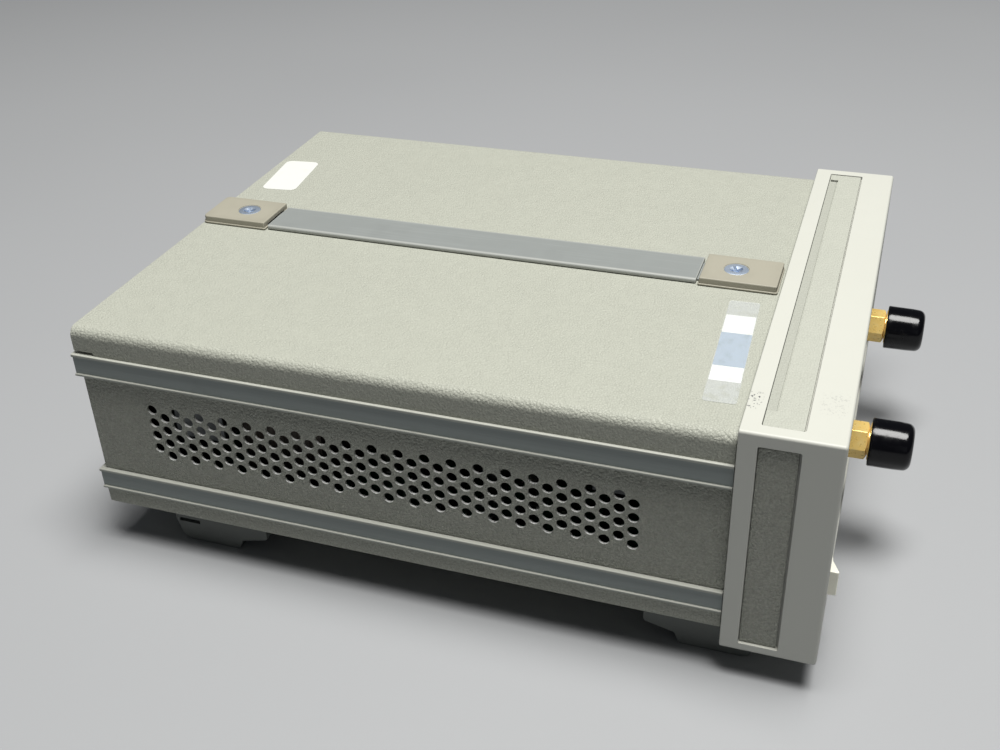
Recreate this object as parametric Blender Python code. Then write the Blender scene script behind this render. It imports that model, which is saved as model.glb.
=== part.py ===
"""Half-rack function generator: a bench instrument in a two-unit, half-width rack cabinet.

The cast front frame carries a recessed panel, the extruded rails tie it to the rear frame, and bent sheet
covers close the box. Lengths below are in millimetres and every vertex is scaled to metres when it is made.
Frame: +X to the right seen from the front, +Y to the rear, +Z up, origin at the middle of the box's base.
"""

import math

import bmesh
import bpy
from mathutils import Matrix, Vector

MM = 0.001
GAP = 0.3  # clearance between pieces that touch

# Cabinet: the half-width module of a 19 inch rack, two units high.
WIDTH = 212.3
FRAME_HEIGHT = 88.5
DEPTH = 273.0  # front plane of the frame to the rear edge of the covers
FRAME_DEPTH = 32.2
FOOT_DROP = 12.5  # feet below the frame
CAP_REACH = 21.5  # dust caps in front of the front plane
REAR_REACH = 8.0  # sockets behind the rear edge

FRONT = CAP_REACH - (CAP_REACH + DEPTH + REAR_REACH) / 2
REAR = FRONT + DEPTH
FRAME_BACK = FRONT + FRAME_DEPTH
FRAME_BOTTOM = FOOT_DROP
FRAME_TOP = FRAME_BOTTOM + FRAME_HEIGHT
HALF_WIDTH = WIDTH / 2
MIDDLE_Z = (FRAME_BOTTOM + FRAME_TOP) / 2

# Front frame walls and the grooves that hold the trim strips.
FRAME_SIDE_WALL = 6.65
FRAME_TOP_WALL = 6.5
FRAME_EDGE = 1.2  # rounding of the frame's outer edges
OPENING_HALF = HALF_WIDTH - FRAME_SIDE_WALL
OPENING_LOW = FRAME_BOTTOM + FRAME_TOP_WALL
OPENING_HIGH = FRAME_TOP - FRAME_TOP_WALL
GROOVE_START = FRONT + 12.8
GROOVE_END = FRONT + 26.0
TOP_GROOVE_HALF = 101.1
TOP_GROOVE_DEPTH = 1.6
SIDE_GROOVE_LOW = FRAME_BOTTOM + 3.4
SIDE_GROOVE_HIGH = FRAME_BOTTOM + 83.6
SIDE_GROOVE_DEPTH = 2.0

# Covers and rails.
COVER_HALF = 104.1
COVER_TOP = FRAME_TOP - 3.65
COVER_BOTTOM = FRAME_BOTTOM + 6.0
SHEET = 1.2
TOP_BEND = 2.8  # outer bend radius of the top cover
BOTTOM_BEND = 1.6
UPPER_RAIL = (FRAME_BOTTOM + 65.0, FRAME_BOTTOM + 74.3)
LOWER_RAIL = (FRAME_BOTTOM + 13.7, FRAME_BOTTOM + 22.7)
RAIL_INNER = 98.3
RAIL_WEB = 104.6
RAIL_LIP = 105.2
LIP = 1.2
SIDE_SHEET_OUTER = 103.6
SIDE_SHEET = 1.0

# Perforation of the side covers: columns of holes in a triangular grid.
HOLE_PITCH = 5.65
HOLE_RADIUS = 2.0
HOLE_COLUMNS = 38
HOLE_ROWS = 4
HOLE_SIDES = 6
FIRST_HOLE_Y = FRAME_BACK + 31.45
LOW_ROW_Z = FRAME_BOTTOM + 34.6

# Carrying strap with a screwed cap at each end.
STRAP_HALF = 9.75
STRAP_BOTTOM = COVER_TOP + GAP
STRAP_TOP = STRAP_BOTTOM + 1.8
CAP_HALF = 10.8
CAP_TOP = COVER_TOP + 3.3
CAP_LENGTH = 29.4
CAP_WALL = 2.5  # closes the cap's pocket at its outer end
CAP_SCREW_INSET = 16.8  # from the cap's outer end
FRONT_CAP_Y = FRAME_BACK + 1.3
REAR_CAP_Y = REAR - 0.1
TONGUE_HALF = 7.0
TONGUE = 1.0
SCREW_RADIUS = 2.4
SCREW_HEAD = 4.8
SCREW_SINK = 0.25  # the head's rim below the cap's top
SCREW_TAPER = 0.9  # depth of the head's cone
SCREW_LENGTH = 12.0
SCREW_CROSS = (2.4, 0.45)  # half length and half width of the recess's arms
LUG = 6.0  # thickness of the lugs that the screws bite into
LUG_HALF = 10.0

# Feet: one moulding, used at the front and turned round at the rear.
FOOT_INNER = 70.0
FOOT_OUTER = 96.0
FEET_MIDDLE_Y = FRAME_BACK + 103.0

# Front panel and what it carries. Depths are behind the front plane.
PANEL_FACE = FRONT + 4.0
PANEL_BACK = FRONT + 6.0
KEY_TIP = FRONT + 0.8
KEY_FLANGE_BACK = PANEL_BACK + 1.3
BOARD_FRONT = FRONT + 9.5
BOARD_BACK = FRONT + 11.1
KEY_CLEARANCE = 0.4
KEY_LIP = KEY_CLEARANCE + 0.8  # how far a key's flange reaches past its cap
KEY_EDGE = 0.6
WINDOW = (-91.0, 66.0, -1.0, 88.0)
KEYS = {  # name: centre x, centre z, width, height
    "sine_key": (20.0, 84.0, 16.0, 8.0),
    "square_key": (46.0, 84.0, 16.0, 8.0),
    "triangle_key": (72.0, 84.0, 16.0, 8.0),
    "frequency_key": (20.0, 70.0, 16.0, 8.0),
    "amplitude_key": (46.0, 70.0, 16.0, 8.0),
    "offset_key": (72.0, 70.0, 16.0, 8.0),
    "up_key": (22.0, 53.0, 9.0, 8.0),
    "down_key": (22.0, 31.0, 9.0, 8.0),
    "left_key": (9.0, 42.0, 9.0, 8.0),
    "right_key": (35.0, 42.0, 9.0, 8.0),
    "output_key": (67.0, 28.0, 16.0, 8.0),
}
LINE_KEY = (-84.0, 25.1, -72.0, 35.2)
LINE_KEY_PROUD = 3.1
LINE_STEM = 2.0  # half the stem's width
CONNECTORS = {"sync": -22.0, "output": 67.0}
CONNECTOR_Z = FRAME_BOTTOM + 35.6
NUT_ACROSS = 12.2
THREAD_RADIUS = 5.2
CAP_RIM_Y = FRONT - 6.3  # open end of the dust caps
CAP_RADIUS = 9.1
CAP_SKIN = 1.2
PANEL_HOLE = 5.6

# Rear frame and panel.
REAR_FRAME_HALF = SIDE_SHEET_OUTER - SIDE_SHEET - GAP
REAR_FRAME_LOW = COVER_BOTTOM + SHEET + GAP
REAR_FRAME_HIGH = COVER_TOP - SHEET - GAP
REAR_FRAME_FRONT = REAR - 18.0
REAR_FRAME_BACK = REAR - 0.8
REAR_OPENING = (-96.0, 25.0, 96.0, 91.0)
REAR_PANEL_FRONT = REAR - 8.0
REAR_PANEL_BACK = REAR - 6.0
FLUSH = REAR_PANEL_BACK + GAP  # where rear flanges sit on the panel
INLET = (-70.0, 42.0)
FUSE = (-70.0, 74.0)
INTERFACE = (-14.0, 76.0)
TRIGGER = (-14.0, 44.0)
FAN = (60.0, MIDDLE_Z + 1.2)
FAN_HALF = 30.0
FAN_BORE = 28.0
FAN_FRONT = REAR_PANEL_FRONT - GAP - 20.0
FAN_HUB = 11.0
FAN_BLADES = 7
FAN_ARM = (1.5, 2.5)  # half width and depth of the arms that hold the motor
GUARD_RADIUS = 31.0

BOARD_TOP = 30.6  # main board's upper face
BOARD = 1.6
STANDOFF = 4.0  # height of the deck's posts under the main board
COAX_RADIUS = 1.6
FIN = 2.0
FINS = 6
FIN_FLOOR = 4.0  # thickness of the heat sink's base


# ---------------------------------------------------------------- helpers


def finish(name, colour, roughness, metallic=0.0):
    """A Principled BSDF material, made once for each name."""
    found = bpy.data.materials.get(name)
    if found:
        return found
    made = bpy.data.materials.new(name)
    made.use_nodes = True
    shader = made.node_tree.nodes["Principled BSDF"]
    shader.inputs["Base Color"].default_value = (*colour, 1.0)
    shader.inputs["Roughness"].default_value = roughness
    shader.inputs["Metallic"].default_value = metallic
    return made


def place(plane, u, v, w):
    """A point at (u, v) in a plane and w along its normal, in metres."""
    if plane == "XZ":
        return Vector((u, w, v)) * MM
    if plane == "YZ":
        return Vector((w, u, v)) * MM
    return Vector((u, v, w)) * MM


def from_bmesh(name, bm, material, smooth=None):
    """An object that holds bm, whose vertices are already in place."""
    bmesh.ops.recalc_face_normals(bm, faces=bm.faces[:])
    mesh = bpy.data.meshes.new(name)
    bm.to_mesh(mesh)
    bm.free()
    if smooth:
        mesh.shade_smooth()
        mesh.set_sharp_from_angle(angle=math.radians(smooth))
    made = bpy.data.objects.new(name, mesh)
    made.data.materials.append(material)
    bpy.context.scene.collection.objects.link(made)
    return made


def prism(name, plane, outline, start, end, material, holes=()):
    """A flat outline, with holes, extruded along its plane's normal from start to end."""
    bm = bmesh.new()
    for loop in (outline, *holes):
        verts = [bm.verts.new(place(plane, u, v, start)) for u, v in loop]
        for one, other in zip(verts, verts[1:] + verts[:1]):
            bm.edges.new((one, other))
    if holes:
        bmesh.ops.triangle_fill(bm, use_beauty=True, edges=bm.edges[:])
    else:
        bm.faces.new(bm.verts[:])
    grown = bmesh.ops.extrude_face_region(bm, geom=bm.faces[:])["geom"]
    moved = [v for v in grown if isinstance(v, bmesh.types.BMVert)]
    bmesh.ops.translate(bm, verts=moved, vec=place(plane, 0, 0, end - start))
    return from_bmesh(name, bm, material)


def rectangle(x0, z0, x1, z1):
    return [(x0, z0), (x1, z0), (x1, z1), (x0, z1)]


def polygon(x, z, radius, sides, turn=0.0):
    """A regular outline whose corners lie on the radius, the first one at turn radians."""
    angles = [turn + 2 * math.pi * i / sides for i in range(sides)]
    return [(x + radius * math.cos(a), z + radius * math.sin(a)) for a in angles]


def arc(x, z, radius, start, end, steps):
    """Points along an arc, angles in degrees."""
    angles = [math.radians(start + (end - start) * i / steps) for i in range(steps + 1)]
    return [(x + radius * math.cos(a), z + radius * math.sin(a)) for a in angles]


def block(name, low, high, material, bevel=0.0):
    """A box between two corners, its edges rounded if bevel is given."""
    bm = bmesh.new()
    bmesh.ops.create_cube(bm, size=1.0)
    size = [b - a for a, b in zip(low, high)]
    middle = [(a + b) / 2 for a, b in zip(low, high)]
    bmesh.ops.transform(bm, matrix=Matrix.Diagonal(Vector(size) * MM).to_4x4(), verts=bm.verts[:])
    bmesh.ops.translate(bm, vec=Vector(middle) * MM, verts=bm.verts[:])
    if bevel:
        bmesh.ops.bevel(bm, geom=bm.edges[:], offset=bevel * MM, segments=1, affect="EDGES")
    return from_bmesh(name, bm, material)


def turned(name, profile, centre, steps, material, axis="Y"):
    """A profile of (radius, height) points turned about the line through centre along an axis, Y or Z."""
    plane, direction = ("XZ", (0, 1, 0)) if axis == "Y" else ("XY", (0, 0, 1))
    u, v = centre
    bm = bmesh.new()
    verts = [bm.verts.new(place(plane, u + radius, v, height)) for radius, height in profile]
    for one, other in zip(verts, verts[1:]):
        bm.edges.new((one, other))
    bmesh.ops.spin(
        bm,
        geom=bm.verts[:] + bm.edges[:],
        cent=place(plane, u, v, 0),
        axis=direction,
        angle=2 * math.pi,
        steps=steps,
        use_merge=True,
    )
    bmesh.ops.remove_doubles(bm, verts=bm.verts[:], dist=0.001 * MM)
    return from_bmesh(name, bm, material, smooth=35)


def pivot(made, x, y, z):
    """Puts an object's origin on its joint's axis and leaves its shape where it is."""
    point = Vector((x, y, z)) * MM
    made.data.transform(Matrix.Translation(-point))
    made.location = point


def combine(target, other, operation):
    """A Boolean of target with a helper object, which isn't part of the model."""
    other.name = "helper"
    other.hide_render = True
    other.display_type = "WIRE"
    modifier = target.modifiers.new(operation.lower(), "BOOLEAN")
    modifier.operation = operation
    modifier.solver = "EXACT"
    modifier.object = other
    return target


def cut(target, *cutters):
    for cutter in cutters:
        combine(target, cutter, "DIFFERENCE")
    return target


def join(target, *others):
    for other in others:
        combine(target, other, "UNION")
    return target


# ---------------------------------------------------------------- materials


def materials():
    return {
        "frame": finish("frame_paint", (0.62, 0.62, 0.55), 0.45),
        "vinyl": finish("cover_vinyl", (0.42, 0.43, 0.36), 0.6),
        "rail": finish("rail_paint", (0.46, 0.48, 0.43), 0.45),
        "strap": finish("strap_vinyl", (0.36, 0.39, 0.39), 0.4),
        "cap": finish("strap_cap_plastic", (0.42, 0.40, 0.33), 0.5),
        "foot": finish("foot_plastic", (0.24, 0.25, 0.23), 0.6),
        "steel": finish("zinc_steel", (0.6, 0.63, 0.68), 0.3, 1.0),
        "gold": finish("gold_plate", (0.85, 0.62, 0.22), 0.25, 1.0),
        "black": finish("black_vinyl", (0.015, 0.015, 0.018), 0.25),
        "key": finish("key_plastic", (0.62, 0.60, 0.50), 0.5),
        "panel": finish("panel_paint", (0.20, 0.20, 0.18), 0.5),
        "window": finish("display_window", (0.05, 0.06, 0.06), 0.1),
        "board": finish("circuit_board", (0.05, 0.20, 0.09), 0.5),
        "zinc": finish("zinc_sheet", (0.62, 0.62, 0.60), 0.4, 1.0),
        "sink": finish("heat_sink_anodised", (0.10, 0.10, 0.11), 0.5, 1.0),
        "iron": finish("transformer_iron", (0.22, 0.20, 0.18), 0.6, 0.4),
        "copper": finish("coax_copper", (0.72, 0.42, 0.25), 0.35, 1.0),
        "dark": finish("dark_plastic", (0.03, 0.03, 0.03), 0.5),
    }


# ---------------------------------------------------------------- cabinet


def front_frame(mat):
    frame = block(
        "front_frame",
        (-HALF_WIDTH, FRONT, FRAME_BOTTOM),
        (HALF_WIDTH, FRAME_BACK, FRAME_TOP),
        mat["frame"],
        bevel=FRAME_EDGE,
    )
    opening = rectangle(-OPENING_HALF, OPENING_LOW, OPENING_HALF, OPENING_HIGH)
    cut(frame, prism("opening", "XZ", opening, FRONT - 5, FRAME_BACK + 5, mat["frame"]))
    top_low = (-TOP_GROOVE_HALF, GROOVE_START, FRAME_TOP - TOP_GROOVE_DEPTH)
    cut(frame, block("top_groove", top_low, (TOP_GROOVE_HALF, GROOVE_END, FRAME_TOP + 5), mat["frame"]))
    for side in (-1, 1):
        x0, x1 = sorted((side * (HALF_WIDTH - SIDE_GROOVE_DEPTH), side * (HALF_WIDTH + 5)))
        low, high = (x0, GROOVE_START, SIDE_GROOVE_LOW), (x1, GROOVE_END, SIDE_GROOVE_HIGH)
        cut(frame, block("side_groove", low, high, mat["frame"]))
    strap_lug(frame, FRAME_BACK - 3.0, FRAME_BACK + 29.0, FRONT_CAP_Y + CAP_SCREW_INSET, mat)


def strap_lug(frame, start, end, screw_y, mat):
    """A lug under the top cover that takes the strap's screw."""
    top = COVER_TOP - SHEET - GAP
    join(frame, block("lug", (-LUG_HALF, start, top - LUG), (LUG_HALF, end, top), mat["frame"]))
    hole = polygon(0, screw_y, SCREW_RADIUS + GAP, 12)
    cut(frame, prism("lug_hole", "XY", hole, top - LUG - 5, top + 3, mat["frame"]))


def trim_strips(mat):
    """Textured strips in the frame's grooves: the top one has a finger ledge along its rear edge."""
    ledge, ledge_half, ledge_depth = 3.6, 93.0, 0.4
    top = block(
        "top_trim_strip",
        (-TOP_GROOVE_HALF + GAP, GROOVE_START + GAP, FRAME_TOP - TOP_GROOVE_DEPTH + GAP),
        (TOP_GROOVE_HALF - GAP, GROOVE_END - GAP, FRAME_TOP - GAP),
        mat["vinyl"],
    )
    cut(
        top,
        block(
            "ledge",
            (-ledge_half, GROOVE_END - GAP - ledge, FRAME_TOP - GAP - ledge_depth),
            (ledge_half, GROOVE_END + 5, FRAME_TOP + 5),
            mat["vinyl"],
        ),
    )
    thickness = 0.7
    for name, side in (("left_trim_strip", -1), ("right_trim_strip", 1)):
        inner = HALF_WIDTH - SIDE_GROOVE_DEPTH + GAP
        x0, x1 = sorted((side * inner, side * (inner + thickness)))
        block(
            name,
            (x0, GROOVE_START + GAP, SIDE_GROOVE_LOW + GAP),
            (x1, GROOVE_END - GAP, SIDE_GROOVE_HIGH - GAP),
            mat["vinyl"],
        )


def rails(mat):
    """Four extrusions, each a web between two outward lips."""
    for height, (low, high) in (("upper", UPPER_RAIL), ("lower", LOWER_RAIL)):
        for side, sign in (("left", -1), ("right", 1)):
            outline = [
                (RAIL_INNER, low),
                (RAIL_LIP, low),
                (RAIL_LIP, low + LIP),
                (RAIL_WEB, low + LIP),
                (RAIL_WEB, high - LIP),
                (RAIL_LIP, high - LIP),
                (RAIL_LIP, high),
                (RAIL_INNER, high),
            ]
            outline = [(sign * x, z) for x, z in outline]
            prism(f"{height}_{side}_rail", "XZ", outline, FRAME_BACK + GAP, REAR + 1.0, mat["rail"])


def bent_cover(outer, inner, bend, skirt, sign):
    """Half-open outline of a sheet bent down at both sides: outer face, then inner face back again.

    outer and inner are the heights of the flat's two faces, skirt is the height of the skirts' ends, and
    sign is 1 for a cover whose flat is at the top.
    """
    steps = 4
    points = []
    for radius, half, height in (
        (bend, COVER_HALF, outer),
        (bend - SHEET, COVER_HALF - SHEET, inner),
    ):
        right = arc(half - radius, height - sign * radius, radius, 0, sign * 90, steps)
        left = [(-x, z) for x, z in reversed(right)]
        face = [(half, skirt), *right, *left, (-half, skirt)]
        points.append(face)
    return points[0] + points[1][::-1]


def covers(mat):
    start, end = FRAME_BACK + GAP, REAR
    top = prism(
        "top_cover",
        "XZ",
        bent_cover(COVER_TOP, COVER_TOP - SHEET, TOP_BEND, UPPER_RAIL[1] + GAP, 1),
        start,
        end,
        mat["vinyl"],
    )
    for y in (FRONT_CAP_Y + CAP_SCREW_INSET, REAR_CAP_Y - CAP_SCREW_INSET):
        hole = polygon(0, y, SCREW_RADIUS + 2 * GAP, 8)
        cut(top, prism("screw_hole", "XY", hole, COVER_TOP - 5, COVER_TOP + 5, mat["vinyl"]))
    prism(
        "bottom_cover",
        "XZ",
        bent_cover(COVER_BOTTOM, COVER_BOTTOM + SHEET, BOTTOM_BEND, LOWER_RAIL[0] - GAP, -1),
        start,
        end,
        mat["vinyl"],
    )


def vent_holes():
    """Centres (y, z) of the perforation: every other column is half a pitch higher."""
    step = HOLE_PITCH * math.sin(math.radians(60))
    return [
        (FIRST_HOLE_Y + column * step, LOW_ROW_Z + HOLE_PITCH * (row + (column % 2) / 2))
        for column in range(HOLE_COLUMNS)
        for row in range(HOLE_ROWS)
    ]


def side_covers(mat):
    outline = rectangle(FRAME_BACK + GAP, LOWER_RAIL[1] + GAP, REAR - 1.2, UPPER_RAIL[0] - GAP)
    holes = [polygon(y, z, HOLE_RADIUS, HOLE_SIDES) for y, z in vent_holes()]
    for name, sign in (("left_side_cover", -1), ("right_side_cover", 1)):
        inner = sign * (SIDE_SHEET_OUTER - SIDE_SHEET)
        prism(name, "YZ", outline, inner, sign * SIDE_SHEET_OUTER, mat["vinyl"], holes)


def feet(mat):
    """Stepped feet: the pad, a sloping tongue towards the middle, and a low heel that clears the frame."""
    y0 = FRAME_BACK
    under, heel_top = COVER_BOTTOM - GAP, FRAME_BOTTOM - 0.6
    outline = [
        (y0 + 28.3, under),
        (y0 + 28.3, 7.4),
        (y0 + 17.0, 4.6),
        (y0 + 15.2, 0.0),
        (y0 - 6.5, 0.0),
        (y0 - 9.8, 1.4),
        (y0 - 12.2, 9.9),
        (y0 - 12.2, heel_top),
        (y0 + 0.6, heel_top),
        (y0 + 0.6, under),
    ]
    turned_round = [(2 * FEET_MIDDLE_Y - y, z) for y, z in outline]
    for end, points in (("front", outline), ("rear", turned_round)):
        for side, sign in (("left", -1), ("right", 1)):
            name = f"{end}_{side}_foot"
            prism(name, "YZ", points, sign * FOOT_INNER, sign * FOOT_OUTER, mat["foot"])


# ---------------------------------------------------------------- strap


def strap(mat):
    """A covered spring strap whose thin ends slide under two screwed caps."""
    body_start = FRONT_CAP_Y + CAP_LENGTH + GAP
    body_end = REAR_CAP_Y - CAP_LENGTH - GAP
    tongue_start, tongue_end = FRONT_CAP_Y + 3.0, REAR_CAP_Y - 3.0
    body = block(
        "carry_strap",
        (-STRAP_HALF, body_start, STRAP_BOTTOM),
        (STRAP_HALF, body_end, STRAP_TOP),
        mat["strap"],
    )
    join(
        body,
        block(
            "tongue",
            (-TONGUE_HALF, tongue_start, STRAP_BOTTOM),
            (TONGUE_HALF, tongue_end, STRAP_BOTTOM + TONGUE),
            mat["strap"],
        ),
    )
    for y in (FRONT_CAP_Y + CAP_SCREW_INSET, REAR_CAP_Y - CAP_SCREW_INSET):
        slot = rectangle(-3.2, y - 5.0, 3.2, y + 5.0)
        cut(body, prism("slot", "XY", slot, STRAP_BOTTOM - 2, STRAP_TOP + 2, mat["strap"]))
    strap_cap("front_strap_cap", FRONT_CAP_Y, 1, mat)
    strap_cap("rear_strap_cap", REAR_CAP_Y, -1, mat)
    strap_screw("front_strap_screw", FRONT_CAP_Y + CAP_SCREW_INSET, mat)
    strap_screw("rear_strap_screw", REAR_CAP_Y - CAP_SCREW_INSET, mat)


def strap_cap(name, outer_end, inward, mat):
    """A flat cap, hollow underneath for the strap's tongue, countersunk for its screw."""
    y0, y1 = sorted((outer_end, outer_end + inward * CAP_LENGTH))
    cap = block(name, (-CAP_HALF, y0, STRAP_BOTTOM), (CAP_HALF, y1, CAP_TOP), mat["cap"])
    pocket_half = TONGUE_HALF + GAP
    p0, p1 = sorted((outer_end + inward * CAP_WALL, outer_end + inward * (CAP_LENGTH + 5)))
    roof = STRAP_BOTTOM + TONGUE + GAP
    cut(cap, block("pocket", (-pocket_half, p0, STRAP_BOTTOM - 2), (pocket_half, p1, roof), mat["cap"]))
    screw_y = outer_end + inward * CAP_SCREW_INSET
    room = GAP + 0.1
    low, high = CAP_TOP - SCREW_SINK - SCREW_TAPER, CAP_TOP - SCREW_SINK
    cut(cap, cone("seat", screw_y, SCREW_RADIUS + room, SCREW_HEAD + room, low, high, mat["cap"]))


def cone(name, y, low_radius, high_radius, low, high, material):
    """A vertical cone frustum with straight ends, 12-sided, that runs well past both ends."""
    bm = bmesh.new()
    rings = []
    for radius, z in (
        (low_radius, low - 5),
        (low_radius, low),
        (high_radius, high),
        (high_radius, high + 5),
    ):
        rings.append([bm.verts.new(place("XY", px, py, z)) for px, py in polygon(0, y, radius, 12)])
    for one, other in zip(rings, rings[1:]):
        for i in range(12):
            j = (i + 1) % 12
            bm.faces.new((one[i], one[j], other[j], other[i]))
    bm.faces.new(rings[0][::-1])
    bm.faces.new(rings[-1])
    return from_bmesh(name, bm, material)


def strap_screw(name, y, mat):
    """Countersunk screw with a low domed head and a cross recess."""
    profile = [
        (0.0, CAP_TOP + 0.1),
        (3.0, CAP_TOP + 0.05),
        (SCREW_HEAD, CAP_TOP - SCREW_SINK),
        (SCREW_RADIUS, CAP_TOP - SCREW_SINK - SCREW_TAPER),
        (SCREW_RADIUS, CAP_TOP - SCREW_LENGTH + 1),
        (0.0, CAP_TOP - SCREW_LENGTH),
    ]
    screw = turned(name, profile, (0, y), 12, mat["steel"], axis="Z")
    arm, half = SCREW_CROSS
    for across, along in ((arm, half), (half, arm)):
        low = (-across, y - along, CAP_TOP - 0.9)
        cut(screw, block("cross", low, (across, y + along, CAP_TOP + 2), mat["steel"]))


# ---------------------------------------------------------------- front


def key_opening(x, z, width, height):
    half_w, half_h = width / 2 + KEY_CLEARANCE, height / 2 + KEY_CLEARANCE
    return rectangle(x - half_w, z - half_h, x + half_w, z + half_h)


def grown(box, by):
    x0, z0, x1, z1 = box
    return rectangle(x0 - by, z0 - by, x1 + by, z1 + by)


def front_panel(mat):
    outline = rectangle(
        -OPENING_HALF + GAP,
        OPENING_LOW + GAP,
        OPENING_HALF - GAP,
        OPENING_HIGH - GAP,
    )
    holes = [key_opening(*values) for values in KEYS.values()]
    holes.append(grown(WINDOW, GAP))
    holes.append(grown(LINE_KEY, KEY_CLEARANCE))
    holes += [polygon(x, CONNECTOR_Z, PANEL_HOLE, 12) for x in CONNECTORS.values()]
    prism("front_panel", "XZ", outline, PANEL_FACE, PANEL_BACK, mat["panel"], holes)
    prism("display_window", "XZ", rectangle(*WINDOW), PANEL_FACE, PANEL_BACK, mat["window"])
    module = grown(WINDOW, -2.0)
    prism("display_module", "XZ", module, PANEL_BACK + GAP, BOARD_FRONT - GAP, mat["dark"])
    board_holes = [polygon(x, CONNECTOR_Z, 8.6, 12) for x in CONNECTORS.values()]
    board_holes.append(grown(LINE_KEY, 1.0))
    board = rectangle(-96.0, OPENING_LOW + 3, 96.0, OPENING_HIGH - 3)
    prism("keyboard_board", "XZ", board, BOARD_FRONT, BOARD_BACK, mat["board"], board_holes)


def push_key(name, x, z, width, height, mat):
    """A key with a flange behind the panel: a plate whose front face is inset and drawn forward."""
    half_w, half_h = width / 2 + KEY_LIP, height / 2 + KEY_LIP
    flange_face = PANEL_BACK + GAP
    bm = bmesh.new()
    outline = rectangle(x - half_w, z - half_h, x + half_w, z + half_h)
    plate = bm.faces.new([bm.verts.new(place("XZ", u, v, KEY_FLANGE_BACK)) for u, v in outline])
    face = drawn(bm, plate, flange_face - KEY_FLANGE_BACK)
    bmesh.ops.inset_region(bm, faces=[face], thickness=KEY_LIP * MM)
    tip = drawn(bm, face, KEY_TIP - flange_face)
    bmesh.ops.delete(bm, geom=[face], context="FACES_ONLY")
    bmesh.ops.bevel(bm, geom=tip.edges[:], offset=KEY_EDGE * MM, segments=1, affect="EDGES")
    pivot(from_bmesh(name, bm, mat["key"]), x, KEY_TIP, z)


def drawn(bm, face, depth):
    """The face at the end of one extruded along Y by depth."""
    made = bmesh.ops.extrude_face_region(bm, geom=[face])["geom"]
    end = next(f for f in made if isinstance(f, bmesh.types.BMFace))
    bmesh.ops.translate(bm, verts=end.verts[:], vec=place("XZ", 0, 0, depth))
    return end


def line_key(mat):
    """Latching mains key: a wedge whose left edge stands proud, on a stem that works the switch behind."""
    x0, z0, x1, z1 = LINE_KEY
    middle_x, middle_z = (x0 + x1) / 2, (z0 + z1) / 2
    outline = [
        (x0, FRONT - LINE_KEY_PROUD),
        (middle_x, FRONT - 0.3),
        (x1, FRONT + 0.6),
        (x1, FRONT + 8.0),
        (x0, FRONT + 8.0),
    ]
    key = prism("line_key", "XY", outline, z0, z1, mat["key"])
    stem_low = (middle_x - LINE_STEM, FRONT + 6.0, middle_z - LINE_STEM)
    stem_high = (middle_x + LINE_STEM, FRONT + 20.0, middle_z + LINE_STEM)
    join(key, block("stem", stem_low, stem_high, mat["key"]))
    pivot(key, middle_x, FRONT, middle_z)
    reach = LINE_STEM + 0.6
    switch = block(
        "line_switch",
        (middle_x - 7, FRONT + 14.0, middle_z - 7),
        (middle_x + 7, FRONT + 34.0, middle_z + 7),
        mat["dark"],
    )
    low = (middle_x - reach, FRONT + 10.0, middle_z - reach)
    high = (middle_x + reach, FRONT + 26.0, middle_z + reach)
    cut(switch, block("stem_hole", low, high, mat["dark"]))


def connectors(mat):
    """Two threaded coaxial connectors clamped by hexagon nuts, each under a push-on dust cap."""
    for name, x in CONNECTORS.items():
        body = [
            (0.0, FRONT - 16.5),
            (1.4, FRONT - 16.5),
            (1.4, FRONT - 10.0),
            (5.0, FRONT - 10.0),
            (5.0, FRONT - 18.8),
            (7.4, FRONT - 18.8),
            (7.4, FRONT - 7.4),
            (6.9, FRONT - 7.0),
            (6.9, FRONT - 6.0),
            (THREAD_RADIUS, FRONT - 6.0),
            (THREAD_RADIUS, PANEL_BACK + GAP),
            (7.6, PANEL_BACK + GAP),
            (7.6, FRONT + 9.0),
            (4.0, FRONT + 9.0),
            (4.0, FRONT + 16.0),
            (0.0, FRONT + 16.0),
        ]
        turned(f"{name}_connector", body, (x, CONNECTOR_Z), 12, mat["gold"])
        nut = polygon(x, CONNECTOR_Z, NUT_ACROSS / 2 / math.cos(math.radians(30)), 6)
        bore = polygon(x, CONNECTOR_Z, THREAD_RADIUS + GAP, 12)
        prism(f"{name}_nut", "XZ", nut, FRONT - 5.7, PANEL_FACE - GAP, mat["gold"], [bore])
        tip = FRONT - CAP_REACH
        cap = [
            (0.0, tip),
            (6.3, tip),
            (8.3, tip + 0.9),
            (CAP_RADIUS, tip + 2.9),
            (CAP_RADIUS, CAP_RIM_Y),
            (CAP_RADIUS - CAP_SKIN, CAP_RIM_Y),
            (CAP_RADIUS - CAP_SKIN, tip + 1.8),
            (0.0, tip + 1.8),
        ]
        made = turned(f"{name}_dust_cap", cap, (x, CONNECTOR_Z), 16, mat["black"])
        pivot(made, x, CAP_RIM_Y, CONNECTOR_Z)


# ---------------------------------------------------------------- inside


def coax(name, points, mat):
    """A semi-rigid cable along a smooth curve through its route's points."""
    route = [Vector(p) * MM for p in points]
    padded = [2 * route[0] - route[1], *route, 2 * route[-1] - route[-2]]
    along = []
    for a, b, c, d in zip(padded, padded[1:], padded[2:], padded[3:]):
        straight, bend, twist = c - a, 2 * a - 5 * b + 4 * c - d, 3 * b - a - 3 * c + d
        for t in (0.0, 0.34, 0.67):
            along.append(b + 0.5 * (straight * t + bend * t**2 + twist * t**3))
    along.append(route[-1])
    curve = bpy.data.curves.new(name, "CURVE")
    curve.dimensions = "3D"
    spline = curve.splines.new("POLY")
    spline.points.add(len(along) - 1)
    for point, position in zip(spline.points, along):
        point.co = (*position, 1.0)
    curve.bevel_depth = COAX_RADIUS * MM
    curve.bevel_resolution = 2
    curve.use_fill_caps = True
    curve.materials.append(mat["copper"])
    bpy.context.scene.collection.objects.link(bpy.data.objects.new(name, curve))


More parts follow.
